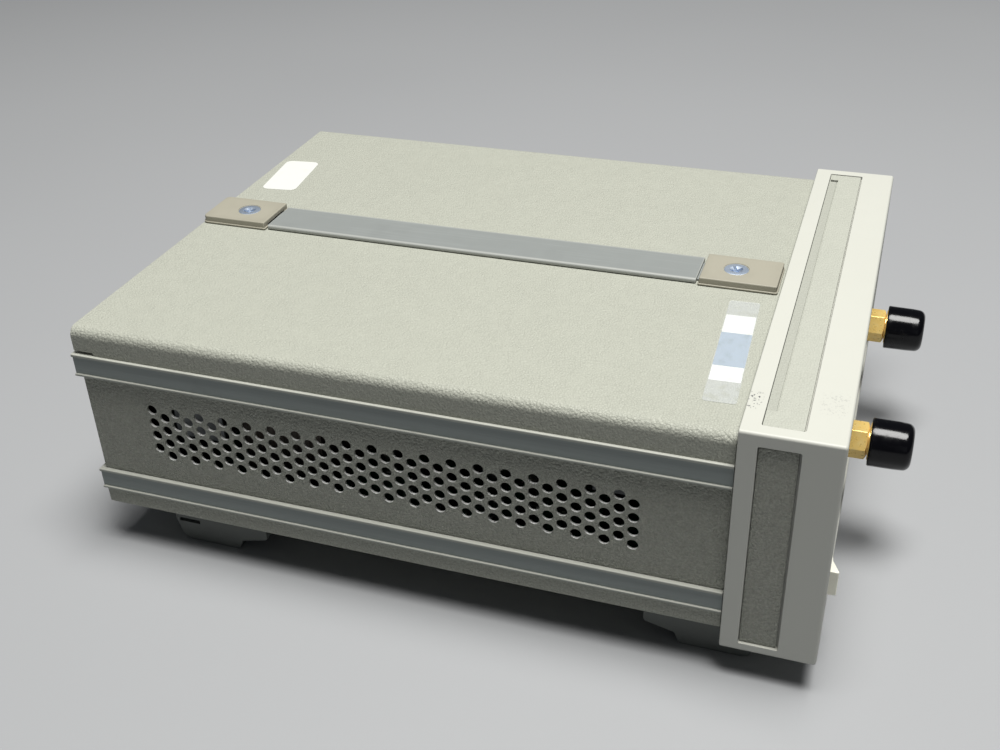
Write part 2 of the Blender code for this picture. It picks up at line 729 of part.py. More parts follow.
def inside(mat):
    board_under = BOARD_TOP - BOARD
    board_rear = FAN_FRONT - 4.0
    block("main_board", (-96.0, FRONT + 35.0, board_under), (96.0, board_rear, BOARD_TOP), mat["board"])
    deck_top = board_under - GAP - STANDOFF
    deck = block(
        "chassis_deck",
        (-97.8, FRAME_BACK + 2.0, deck_top - SHEET),
        (97.8, REAR_FRAME_FRONT - 1.0, deck_top),
        mat["zinc"],
    )
    for x in (-86.0, 0.0, 86.0):
        for y in (FRONT + 45.0, board_rear - 10.0):
            post = polygon(x, y, 3.0, 6)
            join(deck, prism("standoff", "XY", post, deck_top - 0.6, board_under - GAP, mat["zinc"]))
    module_front = FRONT + 78.0
    block(
        "signal_module",
        (-34.0, module_front, BOARD_TOP + GAP),
        (80.0, module_front + 80.0, BOARD_TOP + 26.0),
        mat["zinc"],
        bevel=1.0,
    )
    core = block(
        "mains_transformer",
        (-88.0, REAR - 88.0, BOARD_TOP + GAP),
        (-38.0, REAR - 56.0, BOARD_TOP + 42.0),
        mat["iron"],
    )
    coil_low, coil_high = (-78.0, REAR - 96.0, BOARD_TOP + 7), (-48.0, REAR - 48.0, BOARD_TOP + 36)
    join(core, block("coil", coil_low, coil_high, mat["iron"]))
    heat_sink(mat)
    coupler_z = BOARD_TOP + 15.0
    for name, x in CONNECTORS.items():
        start_y = FRONT + 16.0 + GAP
        end_x = x * 0.8
        middle = (x + end_x) / 2
        route = [
            (x, start_y, CONNECTOR_Z),
            (x, start_y + 9, CONNECTOR_Z),
            (x - 0.1 * (x - middle), start_y + 18, CONNECTOR_Z + 0.4),
            (middle, start_y + 30, (CONNECTOR_Z + coupler_z) / 2),
            (end_x + 0.1 * (middle - end_x), start_y + 43, coupler_z - 0.3),
            (end_x, start_y + 52, coupler_z),
            (end_x, module_front - GAP, coupler_z),
        ]
        coax(f"{name}_coax", route, mat)


def heat_sink(mat):
    """A comb-shaped extrusion: a base with upright fins."""
    x0, x1, base, top = -20.0, 24.0, BOARD_TOP + GAP, BOARD_TOP + 34.0
    pitch = (x1 - x0 - FIN) / (FINS - 1)
    outline = [(x0, base), (x1, base)]
    for i in reversed(range(FINS)):
        left = x0 + i * pitch
        outline += [(left + FIN, top), (left, top)]
        if i:
            outline += [(left, base + FIN_FLOOR), (left - pitch + FIN, base + FIN_FLOOR)]
    prism("heat_sink", "XZ", outline, REAR - 92.0, REAR - 44.0, mat["sink"])


# ---------------------------------------------------------------- rear


def rear_frame(mat):
    half, low, high = REAR_FRAME_HALF, REAR_FRAME_LOW, REAR_FRAME_HIGH
    left = [
        (-half + TOP_BEND, high),
        (-half, high - TOP_BEND),
        (-half, low + BOTTOM_BEND),
        (-half + BOTTOM_BEND, low),
    ]
    outline = left + [(-x, z) for x, z in reversed(left)]
    opening = rectangle(*REAR_OPENING)
    frame = prism("rear_frame", "XZ", outline, REAR_FRAME_FRONT, REAR_FRAME_BACK, mat["frame"], [opening])
    for low, high in (UPPER_RAIL, LOWER_RAIL):
        for sign in (-1, 1):
            x0, x1 = sorted((sign * (RAIL_INNER - GAP), sign * (COVER_HALF + 5)))
            notch_low = (x0, REAR_FRAME_FRONT - 5, low - GAP)
            cut(frame, block("notch", notch_low, (x1, REAR + 5, high + GAP), mat["frame"]))
    strap_lug(frame, REAR_FRAME_FRONT - 8.0, REAR_FRAME_FRONT + 5.0, REAR_CAP_Y - CAP_SCREW_INSET, mat)


def rear_panel(mat):
    holes = [
        rectangle(INLET[0] - 14.4, INLET[1] - 10.4, INLET[0] + 14.4, INLET[1] + 10.4),
        polygon(*FUSE, 6.2, 12),
        rectangle(INTERFACE[0] - 26.0, INTERFACE[1] - 7.0, INTERFACE[0] + 26.0, INTERFACE[1] + 7.0),
        polygon(*TRIGGER, 5.2, 12),
        polygon(*FAN, FAN_BORE, 20),
    ]
    x0, z0, x1, z1 = REAR_OPENING
    outline = rectangle(x0 + GAP, z0 + GAP, x1 - GAP, z1 - GAP)
    prism("rear_panel", "XZ", outline, REAR_PANEL_FRONT, REAR_PANEL_BACK, mat["zinc"], holes)


def mains_inlet(mat):
    """Three-pin inlet: a flange on the panel, a body behind it, and a socket with flat pins."""
    x, z = INLET
    mouth = FLUSH + 2.5
    floor = mouth - 20.0
    inlet = block("mains_inlet", (x - 16, FLUSH, z - 12), (x + 16, mouth, z + 12), mat["dark"])
    join(inlet, block("body", (x - 14, floor - 5, z - 10), (x + 14, FLUSH + 1, z + 10), mat["dark"]))
    cut(inlet, block("socket", (x - 12, floor, z - 8), (x + 12, mouth + 5, z + 8), mat["dark"]))
    for dx, dz in ((-7, -2.5), (7, -2.5), (0, 2.5)):
        low = (x + dx - 1, floor - 2, z + dz - 2)
        join(inlet, block("pin", low, (x + dx + 1, floor + 14, z + dz + 2), mat["dark"]))


def rear_fittings(mat):
    mains_inlet(mat)
    fuse = [
        (0.0, REAR + 4.0),
        (5.4, REAR + 4.0),
        (6.0, REAR + 3.4),
        (6.0, REAR - 2.7),
        (7.8, REAR - 2.7),
        (7.8, FLUSH),
        (5.8, FLUSH),
        (5.8, REAR - 34.0),
        (0.0, REAR - 34.0),
    ]
    turned("fuse_holder", fuse[::-1], FUSE, 12, mat["dark"])
    socket = [
        (0.0, REAR + 1.5),
        (0.8, REAR + 1.5),
        (0.8, REAR - 1.0),
        (4.0, REAR - 1.0),
        (4.0, REAR + REAR_REACH),
        (4.9, REAR + REAR_REACH),
        (4.9, REAR - 3.0),
        (7.0, REAR - 3.0),
        (7.0, FLUSH),
        (4.8, FLUSH),
        (4.8, REAR - 16.0),
        (0.0, REAR - 16.0),
    ]
    turned("trigger_socket", socket[::-1], TRIGGER, 12, mat["steel"])
    x, z = INTERFACE
    flange_low, flange_high = (x - 33, FLUSH, z - 8.5), (x + 33, FLUSH + 1.5, z + 8.5)
    plate = block("interface_connector", flange_low, flange_high, mat["zinc"])
    shell = [(x - 27, z - 5.5), (x + 27, z - 5.5), (x + 24.5, z + 5.5), (x - 24.5, z + 5.5)]
    body = block("body", (x - 25, REAR - 22, z - 6), (x + 25, FLUSH + 0.7, z + 6), mat["zinc"])
    join(plate, prism("shell", "XZ", shell, FLUSH + 0.7, REAR + 1.5, mat["zinc"]), body)
    cut(plate, block("slot", (x - 21, REAR - 4, z - 2.4), (x + 21, REAR + 5, z + 2.4), mat["zinc"]))


def annular_holes(x, z, radii, spokes, half_spoke):
    """Openings between concentric rings and radial spokes, each drawn as two arcs."""
    holes = []
    for inner, outer in radii:
        for i in range(spokes):
            start, end = 360 * i / spokes, 360 * (i + 1) / spokes
            in_edge = math.degrees(math.asin(half_spoke / inner))
            out_edge = math.degrees(math.asin(half_spoke / outer))
            outside = arc(x, z, outer, start + out_edge, end - out_edge, 5)
            inside_arc = arc(x, z, inner, end - in_edge, start + in_edge, 5)
            holes.append(outside + inside_arc)
    return holes


def fan(mat):
    x, z = FAN
    back = REAR_PANEL_FRONT - GAP
    square = rectangle(x - FAN_HALF, z - FAN_HALF, x + FAN_HALF, z + FAN_HALF)
    bore = polygon(x, z, FAN_BORE, 20)
    housing = prism("fan_housing", "XZ", square, FAN_FRONT, back, mat["dark"], [bore])
    half_arm, arm_depth = FAN_ARM
    motor_plate = polygon(x, z, FAN_HUB + 1, 12)
    join(housing, prism("spider", "XZ", motor_plate, FAN_FRONT, FAN_FRONT + arm_depth, mat["dark"]))
    for i in range(3):
        angle = 0.6 + 2 * math.pi * i / 3
        turned_to = Matrix.Rotation(angle, 2)
        corners = [turned_to @ Vector(p) for p in rectangle(0, -half_arm, FAN_BORE + 1, half_arm)]
        arm = [(x + p.x, z + p.y) for p in corners]
        join(housing, prism("arm", "XZ", arm, FAN_FRONT, FAN_FRONT + arm_depth, mat["dark"]))
    hub = prism("fan_rotor", "XZ", polygon(x, z, FAN_HUB, 14), FAN_FRONT + 3.2, back - 1.5, mat["dark"])
    join(hub, fan_blades(x, z, FAN_FRONT + 4.5, back - 2.5, mat))
    pivot(hub, x, REAR_FRAME_FRONT, z)
    gaps = annular_holes(x, z, ((7.5, 12.5), (14.5, 19.5), (21.5, 27.5)), 4, 1.3)
    prism("fan_guard", "XZ", polygon(x, z, GUARD_RADIUS, 24), FLUSH, FLUSH + 1.6, mat["zinc"], gaps)


def fan_blades(x, z, front, back, mat):
    """The rotor's blades, each a thin slab that twists between its leading and trailing edges."""
    bm = bmesh.new()
    sweep = math.radians(26)
    for i in range(FAN_BLADES):
        angle = 2 * math.pi * i / FAN_BLADES
        corners = []
        for y, turn in ((front, -sweep / 2), (back, sweep / 2)):
            for radius in (FAN_HUB - 1.5, FAN_BORE - 1.5):
                for half in (-0.7, 0.7):
                    a = angle + turn + half / radius
                    u, v = x + radius * math.cos(a), z + radius * math.sin(a)
                    corners.append(bm.verts.new(place("XZ", u, v, y)))
        for face in ((0, 1, 3, 2), (4, 6, 7, 5), (0, 4, 5, 1), (2, 3, 7, 6), (0, 2, 6, 4), (1, 5, 7, 3)):
            bm.faces.new([corners[k] for k in face])
    return from_bmesh("blades", bm, mat["dark"])


# ---------------------------------------------------------------- model


def main():
    for old in list(bpy.data.objects):
        bpy.data.objects.remove(old, do_unlink=True)
    mat = materials()
    front_frame(mat)
    trim_strips(mat)
    rails(mat)
    covers(mat)
    side_covers(mat)
    feet(mat)
    strap(mat)
    front_panel(mat)
    for name, values in KEYS.items():
        push_key(name, *values, mat)
    line_key(mat)
    connectors(mat)
    inside(mat)
    rear_frame(mat)
    rear_panel(mat)
    rear_fittings(mat)
    fan(mat)


main()
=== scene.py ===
"""Looks of the half-rack function generator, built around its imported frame.

Lengths are in millimetres, and each vertex is scaled to metres when its mesh is made. Pieces are placed from
the frame's own boxes. +X is to the right seen from the front, +Y to the rear, +Z up.
"""

import math
import random

import bmesh
import bpy
from mathutils import Matrix, Vector


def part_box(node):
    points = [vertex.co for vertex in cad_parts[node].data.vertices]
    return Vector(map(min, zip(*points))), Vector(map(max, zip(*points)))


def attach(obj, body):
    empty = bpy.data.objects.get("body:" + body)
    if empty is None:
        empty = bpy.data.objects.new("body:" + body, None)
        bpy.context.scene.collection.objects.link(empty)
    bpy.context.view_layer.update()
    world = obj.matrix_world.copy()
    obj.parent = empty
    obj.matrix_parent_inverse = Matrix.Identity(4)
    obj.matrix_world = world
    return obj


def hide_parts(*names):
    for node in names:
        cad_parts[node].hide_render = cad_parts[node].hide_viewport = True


MM = 0.001
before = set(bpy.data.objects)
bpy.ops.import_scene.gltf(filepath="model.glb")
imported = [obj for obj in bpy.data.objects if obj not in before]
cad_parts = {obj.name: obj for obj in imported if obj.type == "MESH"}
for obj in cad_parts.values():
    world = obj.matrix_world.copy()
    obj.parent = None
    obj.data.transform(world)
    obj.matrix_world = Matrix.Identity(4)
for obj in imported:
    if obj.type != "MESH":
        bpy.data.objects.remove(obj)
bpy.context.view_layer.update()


def corners(node):
    """Lowest and highest corner of a CAD node, in millimetres."""
    low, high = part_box(node)
    return low / MM, high / MM


def middle(node):
    """A CAD node's centre seen from the front, as (x, z)."""
    low, high = corners(node)
    return (low.x + high.x) / 2, (low.z + high.z) / 2


FRAME_LOW, FRAME_HIGH = corners("front_frame")
FRONT = FRAME_LOW.y
FRAME_BACK = FRONT + 32.2
FRAME_BOTTOM, FRAME_TOP = FRAME_LOW.z, FRAME_HIGH.z
HALF_WIDTH = FRAME_HIGH.x
MIDDLE_Z = (FRAME_BOTTOM + FRAME_TOP) / 2
COVER_TOP = corners("top_cover")[1].z
REAR = corners("top_cover")[1].y
SHEET = 1.2  # thickness of the bent covers
FRAME_ROUND = 1.1  # outer rounding of the casting
GROOVE = (FRONT + 12.8, FRONT + 26.0)
LEDGE = GROOVE[1] - 3.3  # where the top strip steps down
LEDGE_ENDS = (-92.0, 95.0)
TOP_GROOVE_HALF = 101.1
TOP_GROOVE_DEPTH = 1.6
SIDE_GROOVE = (FRAME_BOTTOM + 3.4, FRAME_BOTTOM + 83.6)
SIDE_GROOVE_DEPTH = 2.0
OPENING_X = HALF_WIDTH - 6.65
OPENING_Z = (FRAME_TOP - FRAME_BOTTOM) / 2 - 6.5
OPENING_ROUND = 2.5
HOLE_PITCH = 5.65
HOLE_RADIUS = 2.0
HOLE_COLUMNS, HOLE_ROWS = 38, 4
SCREW_INSET = 16.8  # from a strap cap's outer end
INK = 0.06  # thickness of a printed mark
# Corners of the printed rules round groups of keys and connectors
PANEL_GROUPS = (
    (6.0, 62.5, 88.0, 91.5),
    (-1.0, 22.0, 46.0, 59.5),
    (54.0, 20.5, 84.0, 59.5),
    (-38.0, 34.0, -6.0, 59.5),
)
CLEAR = 5.0  # how far a cutter reaches past the surface that it cuts
SIDES = (("left", -1), ("right", 1))


# ---------------------------------------------------------------- outlines


def rectangle(x0, z0, x1, z1):
    return [(x0, z0), (x1, z0), (x1, z1), (x0, z1)]


def centred(x, z, half_x, half_z):
    return rectangle(x - half_x, z - half_z, x + half_x, z + half_z)


def circle(x, z, radius, sides=32, turn=0.0):
    angles = [turn + 2 * math.pi * i / sides for i in range(sides)]
    return [(x + radius * math.cos(a), z + radius * math.sin(a)) for a in angles]


def quarter(steps):
    """Angles from 0 to 90 degrees, in radians."""
    return [math.radians(90 * i / steps) for i in range(steps + 1)]


def turned(outline, centre, angle):
    """An outline about the origin, turned by radians and moved to a centre."""
    c, s = math.cos(angle), math.sin(angle)
    return [(centre[0] + u * c - v * s, centre[1] + u * s + v * c) for u, v in outline]


def along(base, *points):
    """A profile of (radius, height) points whose heights are measured from base."""
    return [(radius, base + height) for radius, height in points]


def fillet(outline, radius, steps=4):
    """The outline with each corner turned into an arc. radius is one number, or one for each corner."""
    radii = radius if isinstance(radius, (list, tuple)) else [radius] * len(outline)
    rounded = []
    for i, (corner, r) in enumerate(zip(outline, radii)):
        here = Vector(corner)
        before = (Vector(outline[i - 1]) - here).normalized()
        after = (Vector(outline[(i + 1) % len(outline)]) - here).normalized()
        angle = before.angle(after)
        if r <= 0 or abs(angle - math.pi) < 0.01:
            rounded.append(tuple(here))
            continue
        reach = r / math.tan(angle / 2)
        centre = here + (before + after).normalized() * (r / math.sin(angle / 2))
        start, end = here + before * reach - centre, here + after * reach - centre
        turn = start.angle_signed(end)
        for k in range(steps + 1):
            a = -turn * k / steps
            c, s = math.cos(a), math.sin(a)
            rounded.append(tuple(centre + Vector((start.x * c - start.y * s, start.x * s + start.y * c))))
    return rounded


def opening(node, gap, radius):
    """A rounded rectangle round a CAD node seen from the front, wider than it by gap on each side."""
    low, high = corners(node)
    return fillet(rectangle(low.x - gap, low.z - gap, high.x + gap, high.z + gap), radius)


def round_rect(half_x, half_z, radius, y, centre=(0.0, MIDDLE_Z)):
    """A rounded rectangle at depth y, as 3-D points."""
    cx, cz = centre
    outline = fillet(rectangle(-half_x, -half_z, half_x, half_z), radius, 5)
    return [(cx + u, y, cz + v) for u, v in outline]


# ---------------------------------------------------------------- meshes


def spot(plane, u, v, w):
    """A point at (u, v) in a plane and w along its normal."""
    if plane == "XZ":
        return u, w, v
    if plane == "YZ":
        return w, u, v
    return u, v, w


def place(plane, u, v, w):
    """The same point in metres."""
    return Vector(spot(plane, u, v, w)) * MM


def add_slab(bm, plane, outline, start, end, holes=()):
    """Adds a flat outline with holes, extruded along its plane's normal."""
    edges = []
    for loop in (outline, *holes):
        verts = [bm.verts.new(place(plane, u, v, start)) for u, v in loop]
        edges += [bm.edges.new((a, b)) for a, b in zip(verts, verts[1:] + verts[:1])]
    if holes:
        made = bmesh.ops.triangle_fill(bm, use_beauty=True, edges=edges)["geom"]
        faces = [f for f in made if isinstance(f, bmesh.types.BMFace)]
    else:
        faces = bmesh.ops.contextual_create(bm, geom=edges)["faces"]
    grown = bmesh.ops.extrude_face_region(bm, geom=faces)["geom"]
    moved = [v for v in grown if isinstance(v, bmesh.types.BMVert)]
    bmesh.ops.translate(bm, verts=moved, vec=place(plane, 0, 0, end - start))


def soften(bm, width, segments=2, sharpest=40):
    """Rounds every edge whose faces meet at more than sharpest degrees."""
    bmesh.ops.recalc_face_normals(bm, faces=bm.faces[:])
    limit = math.radians(sharpest)
    edges = [e for e in bm.edges if len(e.link_faces) == 2 and e.calc_face_angle() > limit]
    bmesh.ops.bevel(
        bm, geom=edges, offset=width * MM, segments=segments, profile=0.5, affect="EDGES", clamp_overlap=True
    )


def slab(plane, outline, start, end, holes=(), edge=0.2, segments=2):
    """A mesh: an extruded outline with rounded edges."""
    bm = bmesh.new()
    add_slab(bm, plane, outline, start, end, holes)
    if edge:
        soften(bm, edge, segments)
    return bm


def block(low, high, edge=0.3):
    return slab("XY", rectangle(*low[:2], *high[:2]), low[2], high[2], edge=edge)


def bridge(bm, one, other):
    """Faces between two closed loops of vertices with the same count."""
    for i in range(len(one)):
        j = (i + 1) % len(one)
        bm.faces.new((one[i], one[j], other[j], other[i]))


def loft(loops, ring=False):
    """A mesh through loops of points with the same count: closed by end caps, or into a ring."""
    bm = bmesh.new()
    rows = [[bm.verts.new(Vector(p) * MM) for p in loop] for loop in loops]
    for one, other in zip(rows, rows[1:]):
        bridge(bm, one, other)
    if ring:
        bridge(bm, rows[-1], rows[0])
    else:
        bm.faces.new(rows[0][::-1])
        bm.faces.new(rows[-1])
    bmesh.ops.recalc_face_normals(bm, faces=bm.faces[:])
    return bm


def lathe(profile, centre, axis="Y", steps=48):
    """A mesh turned about a line along axis through centre. The profile is (radius, height) points."""
    bm = bmesh.new()
    plane = "XZ" if axis == "Y" else "XY"
    cu, cv = centre
    loops = []
    for i in range(steps):
        c, s = math.cos(2 * math.pi * i / steps), math.sin(2 * math.pi * i / steps)
        loops.append([bm.verts.new(place(plane, cu + r * c, cv + r * s, h)) for r, h in profile])
    for one, other in zip(loops, loops[1:] + loops[:1]):
        for a, b, c, d in zip(one, one[1:], other[1:], other):
            bm.faces.new((a, b, c, d))
    bmesh.ops.remove_doubles(bm, verts=bm.verts[:], dist=0.0005 * MM)
    bmesh.ops.recalc_face_normals(bm, faces=bm.faces[:])
    return bm


def merge(*meshes):
    """One mesh that holds the shapes of several."""
    total = bmesh.new()
    for bm in meshes:
        held = bpy.data.meshes.new("held")
        bm.to_mesh(held)
        bm.free()
        total.from_mesh(held)
        bpy.data.meshes.remove(held)
    return total


def boolean(bm, cutter, operation="DIFFERENCE"):
    """The mesh cut by, or joined with, another one."""
    objects = []
    for name, source in (("target", bm), ("tool", cutter)):
        bmesh.ops.recalc_face_normals(source, faces=source.faces[:])
        mesh = bpy.data.meshes.new(name)
        source.to_mesh(mesh)
        source.free()
        objects.append(bpy.data.objects.new(name, mesh))
        bpy.context.scene.collection.objects.link(objects[-1])
    target, tool = objects
    modifier = target.modifiers.new("cut", "BOOLEAN")
    modifier.operation = operation
    modifier.solver = "EXACT"
    modifier.object = tool
    graph = bpy.context.evaluated_depsgraph_get()
    result = bmesh.new()
    result.from_object(target, graph)
    for made in objects:
        mesh = made.data
        bpy.data.objects.remove(made)
        bpy.data.meshes.remove(mesh)
    bmesh.ops.remove_doubles(result, verts=result.verts[:], dist=0.002 * MM)
    return result


def cross_cut(bm, plane, centre, turn, sections):
    """A screw's cross recess. Each arm tapers between sections of half length, half width and height."""
    for angle in (turn, turn + math.pi / 2):
        arm = []
        for half, wide, height in sections:
            plan = turned(rectangle(-half, -wide, half, wide), centre, angle)
            arm.append([spot(plane, u, v, height) for u, v in plan])
        bm = boolean(bm, loft(arm))
    return bm


def mark_edges(mesh):
    """Stores how convex each vertex is, from 0 on flat stretches to 1 on outer edges, for wear and painted
    edge highlights.
    """
    bm = bmesh.new()
    bm.from_mesh(mesh)
    layer = bm.verts.layers.float.new("convex")
    for vert in bm.verts:
        turns = [e.calc_face_angle_signed(0.0) for e in vert.link_edges if len(e.link_faces) == 2]
        vert[layer] = max(0.0, min(1.0, sum(turns) / 0.9))
    bm.to_mesh(mesh)
    bm.free()


def piece(name, bm, look, node=None, body="cabinet", sharp=38):
    """An object of the finished mesh, with its look, its body and the CAD node that it stands for."""
    bmesh.ops.recalc_face_normals(bm, faces=bm.faces[:])
    mesh = bpy.data.meshes.new(name)
    bm.to_mesh(mesh)
    bm.free()
    mark_edges(mesh)
    mesh.shade_smooth()
    mesh.set_sharp_from_angle(angle=math.radians(sharp))
    mesh.materials.append(LOOKS[look])
    made = bpy.data.objects.new(name, mesh)
    bpy.context.scene.collection.objects.link(made)
    weighted = made.modifiers.new("weighted normals", "WEIGHTED_NORMAL")
    weighted.keep_sharp = True
    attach(made, body)
    if node:
        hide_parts(node)


# ---------------------------------------------------------------- looks


def dimmed(colour, share):
    return tuple(c * share for c in colour)


class Look:
    """A Principled material built up one layer at a time, on coordinates that move with the piece."""

    def __init__(self, name, colour, roughness, metallic=0.0, **sockets):
        self.material = bpy.data.materials.new(name)
        self.material.use_nodes = True
        self.tree = self.material.node_tree
        self.shader = self.tree.nodes["Principled BSDF"]
        self.shader.inputs["Metallic"].default_value = metallic
        for socket, value in sockets.items():
            self.shader.inputs[socket.replace("_", " ")].default_value = value
        self.where = self.node("ShaderNodeTexCoord").outputs["Object"]
        self.colour = self.constant("ShaderNodeRGB", (*colour, 1.0))
        self.roughness = self.constant("ShaderNodeValue", roughness)
        self.height = None

    def node(self, kind, **settings):
        made = self.tree.nodes.new(kind)
        for key, value in settings.items():
            setattr(made, key, value)
        return made

    def set(self, socket, value):
        if isinstance(value, bpy.types.NodeSocket):
            self.tree.links.new(value, socket)
        else:
            socket.default_value = value

    def constant(self, kind, value):
        made = self.node(kind)
        made.outputs[0].default_value = value
        return made.outputs[0]

    def math(self, operation, a, b, clamp=False):
        made = self.node("ShaderNodeMath", operation=operation, use_clamp=clamp)
        self.set(made.inputs[0], a)
        self.set(made.inputs[1], b)
        return made.outputs[0]

    def times(self, a, b):
        return self.math("MULTIPLY", a, b)

    def texture(self, kind, size, stretch, **settings):
        """A texture node whose features measure about size millimetres."""
        made = self.node(kind, **settings)
        where = self.where
        if stretch != (1, 1, 1):
            mapping = self.node("ShaderNodeMapping")
            self.set(mapping.inputs["Vector"], where)
            mapping.inputs["Scale"].default_value = stretch
            where = mapping.outputs[0]
        self.set(made.inputs["Vector"], where)
        made.inputs["Scale"].default_value = 1.0 / (size * MM)
        return made

    def noise(self, size, detail=3.0, rough=0.5, stretch=(1, 1, 1)):
        made = self.texture("ShaderNodeTexNoise", size, stretch)
        made.inputs["Detail"].default_value = detail
        made.inputs["Roughness"].default_value = rough
        return made.outputs["Fac"]

    def cells(self, size, feature="F1", smooth=0.5, jitter=1.0):
        made = self.texture("ShaderNodeTexVoronoi", size, (1, 1, 1), feature=feature)
        made.inputs["Randomness"].default_value = jitter
        if feature == "SMOOTH_F1":
            made.inputs["Smoothness"].default_value = smooth
        return made.outputs["Distance"]

    def span(self, value, low, high, start=0.0, end=1.0):
        """value mapped from low...high to start...end, smoothly and clamped."""
        made = self.node("ShaderNodeMapRange", interpolation_type="SMOOTHSTEP")
        self.set(made.inputs["Value"], value)
        for socket, number in (("From Min", low), ("From Max", high), ("To Min", start), ("To Max", end)):
            made.inputs[socket].default_value = number
        return made.outputs["Result"]

    def part(self, vector, axis):
        """One coordinate of a vector."""
        made = self.node("ShaderNodeSeparateXYZ")
        self.set(made.inputs[0], vector)
        return made.outputs[axis]

    def upward(self):
        """1 on faces that look up, 0 on upright faces and those that look down."""
        normal = self.node("ShaderNodeNewGeometry").outputs["Normal"]
        return self.span(self.part(normal, "Z"), 0.1, 0.9)

    def upright(self):
        """1 on upright faces and those that look down, 0 on faces that look up."""
        return self.math("SUBTRACT", 1.0, self.upward())

    def within(self, axis, low, high, soft=2.0):
        """1 where a coordinate lies between low and high millimetres, fading over soft."""
        value = self.part(self.where, axis)
        rise = self.span(value, (low - soft) * MM, low * MM)
        fall = self.span(value, high * MM, (high + soft) * MM, 1.0, 0.0)
        return self.times(rise, fall)

    def tint(self, colour, mask, amount=1.0):
        """Mixes a colour in where mask is 1."""
        made = self.node("ShaderNodeMix", data_type="RGBA")
        share = mask if amount == 1.0 else self.times(mask, amount)
        self.set(made.inputs[0], share)
        self.set(made.inputs[6], self.colour)
        made.inputs[7].default_value = (*colour, 1.0)
        self.colour = made.outputs[2]

    def blotch(self, colour, size, detail, low, high, amount, rough=0.5):
        """Mixes a colour in where a noise passes from low to high."""
        self.tint(colour, self.span(self.noise(size, detail, rough), low, high), amount)

    def wear_and_highlight(self, colour, low, high, amount):
        """Mixes a colour in along outer edges; used for wear, and on the frame also for a painted edge
        highlight.
        """
        convex = self.node("ShaderNodeAttribute", attribute_name="convex").outputs["Fac"]
        self.tint(colour, self.span(convex, low, high), amount)

    def rougher(self, mask, amount):
        self.roughness = self.math("ADD", self.roughness, self.times(mask, amount), clamp=True)

    def raise_by(self, mask, depth):
        """Adds mask times depth, in millimetres, to the bump's height."""
        layer = self.times(mask, depth * MM)
        self.height = layer if self.height is None else self.math("ADD", self.height, layer)

    def done(self, strength=0.8):
        """The finished material. strength is that of its bump."""
        self.set(self.shader.inputs["Base Color"], self.colour)
        self.set(self.shader.inputs["Roughness"], self.roughness)
        if self.height is not None:
            bump = self.node("ShaderNodeBump")
            bump.inputs["Strength"].default_value = strength
            bump.inputs["Distance"].default_value = 1.0
            self.set(bump.inputs["Height"], self.height)
            self.set(self.shader.inputs["Normal"], bump.outputs["Normal"])
        return self.material


def frame_paint():
    """Smooth off-white enamel on a casting, with faint orange peel, a little yellowing and specks of dirt,
    painted shade on its upright faces and a partly painted highlight along its edges.
    """
    look = Look("frame_enamel", (0.45, 0.452, 0.402), 0.42, Specular_IOR_Level=0.45)
    look.blotch((0.42, 0.417, 0.36), 70, 3, 0.45, 0.75, 0.3)
    # Paler along outer edges: partly rubbed enamel, partly a painted highlight on the rounded edges.
    look.wear_and_highlight((0.56, 0.565, 0.51), 0.15, 0.8, 0.7)
    # Painted shade: upright faces and those that look down are darker.
    look.tint((0.40, 0.405, 0.37), look.upright(), 0.9)
    grime = look.span(look.noise(0.75, 1.0), 0.60, 0.66)
    corner = look.times(look.within("X", -92, -84, 1.5), look.within("Y", FRAME_BACK - 4, FRAME_BACK + 1, 1))
    edge = look.times(look.within("X", -89, -79, 3), look.within("Y", FRONT + 3, FRONT + 9, 2))
    look.tint((0.07, 0.07, 0.08), look.times(grime, look.times(corner, look.upward())), 0.9)
    look.tint((0.25, 0.25, 0.24), look.times(grime, look.times(edge, look.upward())), 0.35)
    look.rougher(look.noise(8, 3), 0.12)
    look.raise_by(look.noise(0.8, 3), 0.012)
    look.raise_by(look.noise(6, 2), 0.03)
    return look.done()


def grained(name, colour, painted_shade_share=0.7, depth=1.0):
    """Leather-grain coating: pebbles about a millimetre across, with painted shade on upright faces, where
    the grain is also more marked.
    """
    look = Look(name, colour, 0.5, Specular_IOR_Level=0.4)
    painted_shade_colour = dimmed(colour, painted_shade_share)
    upright = look.upright()
    look.blotch(dimmed(colour, 0.88), 60, 4, 0.45, 0.8, 0.12)
    look.blotch(dimmed(colour, 1.1), 20, 4, 0.5, 0.8, 0.1)
    pebbles = look.cells(1.0, "SMOOTH_F1", 0.35)
    valley = look.span(look.cells(0.85, "DISTANCE_TO_EDGE"), 0.0, 0.13, 1.0, 0.0)
    # Painted shade in the grain's creases, in patches.
    crease_shade = look.times(valley, look.span(look.noise(5, 2), 0.25, 0.7))
    look.tint(dimmed(colour, 0.66), crease_shade, min(0.3 * depth, 0.8))
    # Painted shade: upright faces and those that look down take the darker colour.
    look.tint(painted_shade_colour, upright)
    speckle = look.noise(0.8, 2, 0.6)
    look.tint(dimmed(painted_shade_colour, 0.62), look.times(upright, look.span(speckle, 0.5, 0.64)), 0.3)
    look.tint(dimmed(painted_shade_colour, 1.5), look.times(upright, look.span(speckle, 0.36, 0.48, 1, 0)), 0.22)
    stains = look.times(look.span(look.noise(2.2, 4), 0.68, 0.73), look.span(look.noise(50, 2), 0.52, 0.65))
    look.tint(dimmed(colour, 0.6), stains, 0.15)
    look.rougher(look.noise(3, 3), 0.16)
    look.raise_by(pebbles, -0.26 * depth)
    look.raise_by(look.noise(0.45, 3), 0.06 * depth)
    look.raise_by(valley, -0.07 * depth)
    look.raise_by(look.noise(2.2, 2), 0.03 * depth)
    return look


